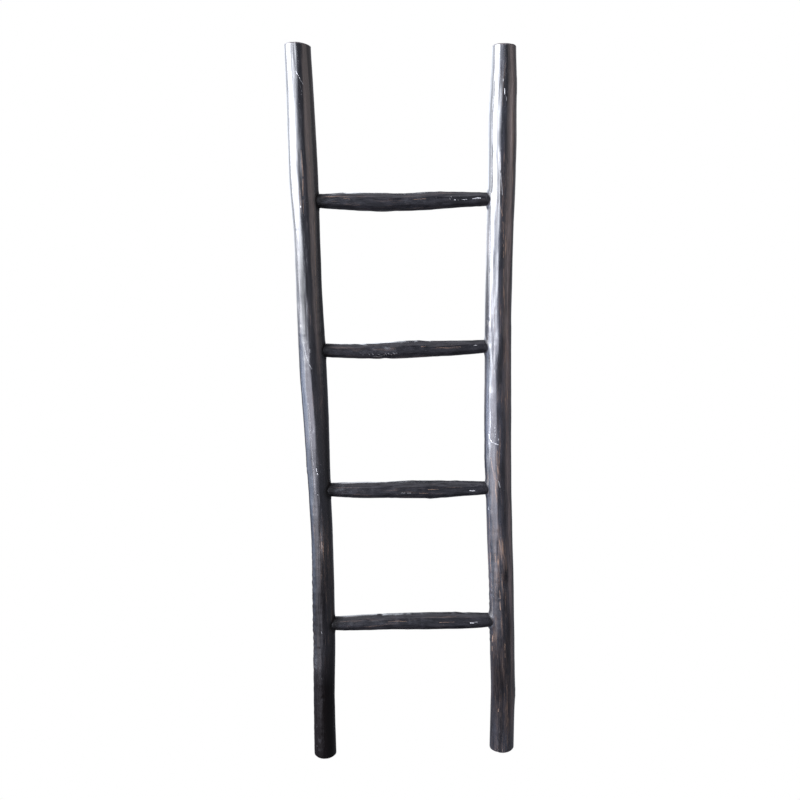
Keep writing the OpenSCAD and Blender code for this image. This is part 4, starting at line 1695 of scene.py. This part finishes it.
def make_camera():
    """A camera at the photograph's place and angle."""
    data = bpy.data.cameras.new("camera")
    data.lens = CAMERA_LENS
    data.sensor_width = SENSOR
    camera = bpy.data.objects.new("camera", data)
    ahead = Vector((
        math.sin(CAMERA_YAW) * math.cos(CAMERA_PITCH),
        math.cos(CAMERA_YAW) * math.cos(CAMERA_PITCH), math.sin(CAMERA_PITCH)))
    level = Vector((math.cos(CAMERA_YAW), -math.sin(CAMERA_YAW), 0))
    above = level.cross(ahead)
    right = math.cos(CAMERA_ROLL) * level + math.sin(CAMERA_ROLL) * above
    up = math.cos(CAMERA_ROLL) * above - math.sin(CAMERA_ROLL) * level
    turn = Matrix((right, up, -ahead)).transposed().to_4x4()
    camera.matrix_world = Matrix.Translation(CAMERA_PLACE) @ turn
    bpy.context.scene.collection.objects.link(camera)
    bpy.context.scene.camera = camera


# Half the floor's width, the squares along it, and how far it lies under the feet.
FLOOR_REACH = 6.0
FLOOR_SQUARES = 8
FLOOR_DROP = 0.0004


def make_floor():
    """A plain pale floor that stays even under the ladder."""
    line = np.linspace(-FLOOR_REACH, FLOOR_REACH, FLOOR_SQUARES + 1)
    points = [(x, y, -FLOOR_DROP) for y in line for x in line]
    corners = (0, 1, len(line) + 1, len(line))
    faces = [
        [row * len(line) + column + corner for corner in corners]
        for row in range(FLOOR_SQUARES) for column in range(FLOOR_SQUARES)]
    mesh = bpy.data.meshes.new("floor")
    mesh.from_pydata(points, [], faces)
    floor = bpy.data.objects.new("floor", mesh)
    bpy.context.scene.collection.objects.link(floor)
    material, nodes, output = new_material("pale_floor")
    white = nodes.add("ShaderNodeEmission", Color=(1, 1, 1, 1), Strength=1.0)
    nodes.tree.links.new(white.outputs[0], output.inputs["Surface"])
    mesh.materials.append(material)
    floor.visible_diffuse = False
    floor.visible_glossy = False
    floor.visible_shadow = False


# Soft patches of light round the ladder. Each has its setting, then its sides in degrees to the
# left of straight ahead of the ladder, its low and high end in degrees above level, how far the
# low end rises over each degree to the left, how soft the sides and the ends are, and its colour.
LIGHT_PATCHES = (
    ("window", 43.5, 101, -7.6, 42, 0.045, 16, 2.5, (0.93, 0.95, 1.0)),
    ("gap", 68, 76, -18, -6, 0, 4, 3, (0.92, 0.95, 1.0)),
    ("wall", 19, 104, 0, 50, -0.25, 16, 4, (0.84, 0.88, 1.0)),
    ("spill", 60, 74, -15.5, -6, 0, 11, 3, (0.86, 0.90, 1.0)),
    ("spill", 24, 62, -22.0, -6, 0, 18, 3, (0.99, 0.92, 1.0)),
    ("sill", 20, 86, -19, -2, 0, 16, 4, (0.62, 0.74, 1.0)),
    ("sill", 20, 90, -24, -19, 0, 16, 4, (0.78, 0.85, 1.0)),
    ("sill", 78, 122, -22, -7, 0, 13, 4, (0.36, 0.57, 1.0)),
    ("back", 108, 200, -5, 45, 0, 8, 5, (0.86, 0.91, 1.0)),
    ("fill", -84, -42, -5, 35, 0, 9, 7, (1.0, 0.84, 0.79)),
    ("side", -160, -86, 0, 40, 0, 10, 7, (1.0, 0.84, 0.80)),
    ("front", -200, 200, -42, 34, 0, 20, 10, (0.82, 0.85, 1.0)),
    ("floor", -200, 200, -75, -40, 0, 20, 8, (0.88, 0.86, 1.0)),
    ("top", -200, 200, 56, 95, 0, 20, 14, (0.90, 0.90, 1.0)),
)
ROOM_COLOUR = (0.86, 0.90, 1.0)


def patch_group():
    """How far a direction lies inside a patch with soft edges."""
    nodes, given, result = new_group(
        "Soft Patch",
        socket_list(
            "value", "Side", "Height", "From", "To", "Low", "High", "Slant", "Side Softness",
            "End Softness"),
        socket_list("value", "Glow"))

    def inside(value, low, high, softness):
        past_low = nodes.math("DIVIDE", nodes.math("SUBTRACT", value, low), softness)
        past_high = nodes.math("DIVIDE", nodes.math("SUBTRACT", high, value), softness)
        return nodes.math(
            "MULTIPLY", nodes.ramp(past_low, -1.0, 1.0), nodes.ramp(past_high, -1.0, 1.0))

    socket = given.outputs
    across = inside(socket["Side"], socket["From"], socket["To"], socket["Side Softness"])
    past = nodes.math("SUBTRACT", socket["Side"], socket["From"])
    low = nodes.weighted(socket["Low"], (past, socket["Slant"]))
    along = inside(socket["Height"], low, socket["High"], socket["End Softness"])
    return give(nodes, result, Glow=nodes.math("MULTIPLY", across, along))


def make_room(stage):
    """A white room for the camera, and soft patches of light for the wood to reflect."""
    world = bpy.data.worlds.new("room")
    bpy.context.scene.world = world
    world.use_nodes = True
    world.node_tree.nodes.clear()
    nodes = Nodes(world.node_tree)
    output = nodes.add("ShaderNodeOutputWorld")
    way = nodes.add("ShaderNodeTexCoord").outputs["Generated"]
    parts = nodes.add("ShaderNodeSeparateXYZ", Vector=way).outputs
    left = nodes.math("MULTIPLY", parts["X"], -1.0)
    ahead = nodes.math("MULTIPLY", parts["Y"], -1.0)
    side = nodes.math("MULTIPLY", nodes.math("ARCTAN2", left, ahead), math.degrees(1))
    height = nodes.math("MULTIPLY", nodes.math("ARCSINE", parts["Z"]), math.degrees(1))
    group = patch_group()
    light = [stage.room * part for part in ROOM_COLOUR]
    for setting, start, stop, low, high, slant, side_soft, end_soft, colour in LIGHT_PATCHES:
        patch = placed(
            nodes, group, Side=side, Height=height, From=start, To=stop, Low=low, High=high,
            Slant=slant, Side_Softness=side_soft, End_Softness=end_soft)
        strength = nodes.math("MULTIPLY", patch.outputs["Glow"], getattr(stage, setting))
        light = nodes.vector("ADD", nodes.scaled(colour, strength), light)
    seen = nodes.add("ShaderNodeLightPath").outputs["Is Camera Ray"]
    white = nodes.add("ShaderNodeBackground", Color=(1, 1, 1, 1), Strength=1.0)
    soft = nodes.add("ShaderNodeBackground", Color=light, Strength=1.0)
    both = nodes.add("ShaderNodeMixShader", Fac=seen)
    nodes.tree.links.new(soft.outputs[0], both.inputs[1])
    nodes.tree.links.new(white.outputs[0], both.inputs[2])
    nodes.tree.links.new(both.outputs[0], output.inputs["Surface"])


# Operators

# The ladder's left and right side, where its noise starts, and the bend that shows as an edge
# on a nail.
SIDES = (-1, 1)
FIRST_POLE_SEED = 101
POLE_SEED_STEP = 50
FIRST_RUNG_SEED = 307
RUNG_SEED_STEP = 40
NAIL_SHARP = math.radians(40)


class POLELADDER_OT_grow_poles(bpy.types.Operator):
    """Makes both peeled poles with their mortises"""

    bl_idname = "poleladder.grow_poles"
    bl_label = "Grow the poles"

    def execute(self, context):
        wood = context.scene.pole_ladder_wood
        finish = context.scene.pole_ladder_finish
        for number, name in enumerate(POLES):
            material = stained_wood(
                ("left_pole_stain", "right_pole_stain")[number], shared_groups(), finish, name,
                POLE_MARKS[name])
            piece = make_pole(
                name, SIDES[number], wood, FIRST_POLE_SEED + POLE_SEED_STEP * number)
            dress(piece, name, material)
        return {"FINISHED"}


class POLELADDER_OT_whittle_rungs(bpy.types.Operator):
    """Makes the four whittled rungs with their tenons"""

    bl_idname = "poleladder.whittle_rungs"
    bl_label = "Whittle the rungs"

    def execute(self, context):
        wood = context.scene.pole_ladder_wood
        finish = context.scene.pole_ladder_finish
        for number, name in enumerate(RUNGS):
            material = stained_wood(
                f"{name}_stain", shared_groups(), finish, "rung", RUNG_MARKS[name])
            piece = make_rung(name, wood, FIRST_RUNG_SEED + RUNG_SEED_STEP * number)
            dress(piece, name, material)
        return {"FINISHED"}


class POLELADDER_OT_drive_nails(bpy.types.Operator):
    """Makes the nails that pin the tenons from the back"""

    bl_idname = "poleladder.drive_nails"
    bl_label = "Drive the nails"

    def execute(self, context):
        material = nail_steel(context.scene.pole_ladder_finish)
        for number, name in enumerate(NAIL_NODES):
            joints = [read_joint(rung, SIDES[number]) for rung in RUNGS]
            nails = [
                make_nail(f"{name}_{i}", nail) for i, nail in enumerate(read_nails(name, joints))]
            piece = merge(f"{name}_steel", nails)
            piece.data.shade_smooth()
            piece.data.set_sharp_from_angle(angle=NAIL_SHARP)
            dress(piece, name, material)
        return {"FINISHED"}


class POLELADDER_OT_set_stage(bpy.types.Operator):
    """Sets up the camera, the pale floor, the room and the soft lights"""

    bl_idname = "poleladder.set_stage"
    bl_label = "Set the stage"

    def execute(self, context):
        stage = context.scene.pole_ladder_stage
        make_camera()
        make_floor()
        make_room(stage)
        context.scene.view_settings.view_transform = "Standard"
        return {"FINISHED"}


class POLELADDER_PT_panel(bpy.types.Panel):
    """The ladder's steps and settings"""

    bl_idname = "POLELADDER_PT_panel"
    bl_label = "Pole ladder"
    bl_space_type = "VIEW_3D"
    bl_region_type = "UI"
    bl_category = "Ladder"

    def draw(self, context):
        layout = self.layout
        for step in STEPS:
            layout.operator(step.bl_idname)
        for settings in ("pole_ladder_wood", "pole_ladder_finish", "pole_ladder_stage"):
            group = getattr(context.scene, settings)
            box = layout.box()
            for label in group.bl_rna.properties.keys():
                if label not in ("rna_type", "name"):
                    box.prop(group, label)


STEPS = (
    POLELADDER_OT_grow_poles, POLELADDER_OT_whittle_rungs, POLELADDER_OT_drive_nails,
    POLELADDER_OT_set_stage)
SETTINGS = {
    "pole_ladder_wood": PoleLadderWood, "pole_ladder_finish": PoleLadderFinish,
    "pole_ladder_stage": PoleLadderStage}


def register():
    """Makes the classes known to Blender."""
    for kind in (*SETTINGS.values(), *STEPS, POLELADDER_PT_panel):
        bpy.utils.register_class(kind)
    for name, kind in SETTINGS.items():
        setattr(bpy.types.Scene, name, bpy.props.PointerProperty(type=kind))


def unregister():
    """Takes the classes out again."""
    for name in SETTINGS:
        delattr(bpy.types.Scene, name)
    for kind in (POLELADDER_PT_panel, *reversed(STEPS), *reversed(list(SETTINGS.values()))):
        bpy.utils.unregister_class(kind)


def main():
    """Builds the ladder's looks step by step."""
    register()
    bpy.ops.poleladder.set_stage()
    bpy.ops.poleladder.grow_poles()
    bpy.ops.poleladder.whittle_rungs()
    bpy.ops.poleladder.drive_nails()


if __name__ == "__main__":
    main()
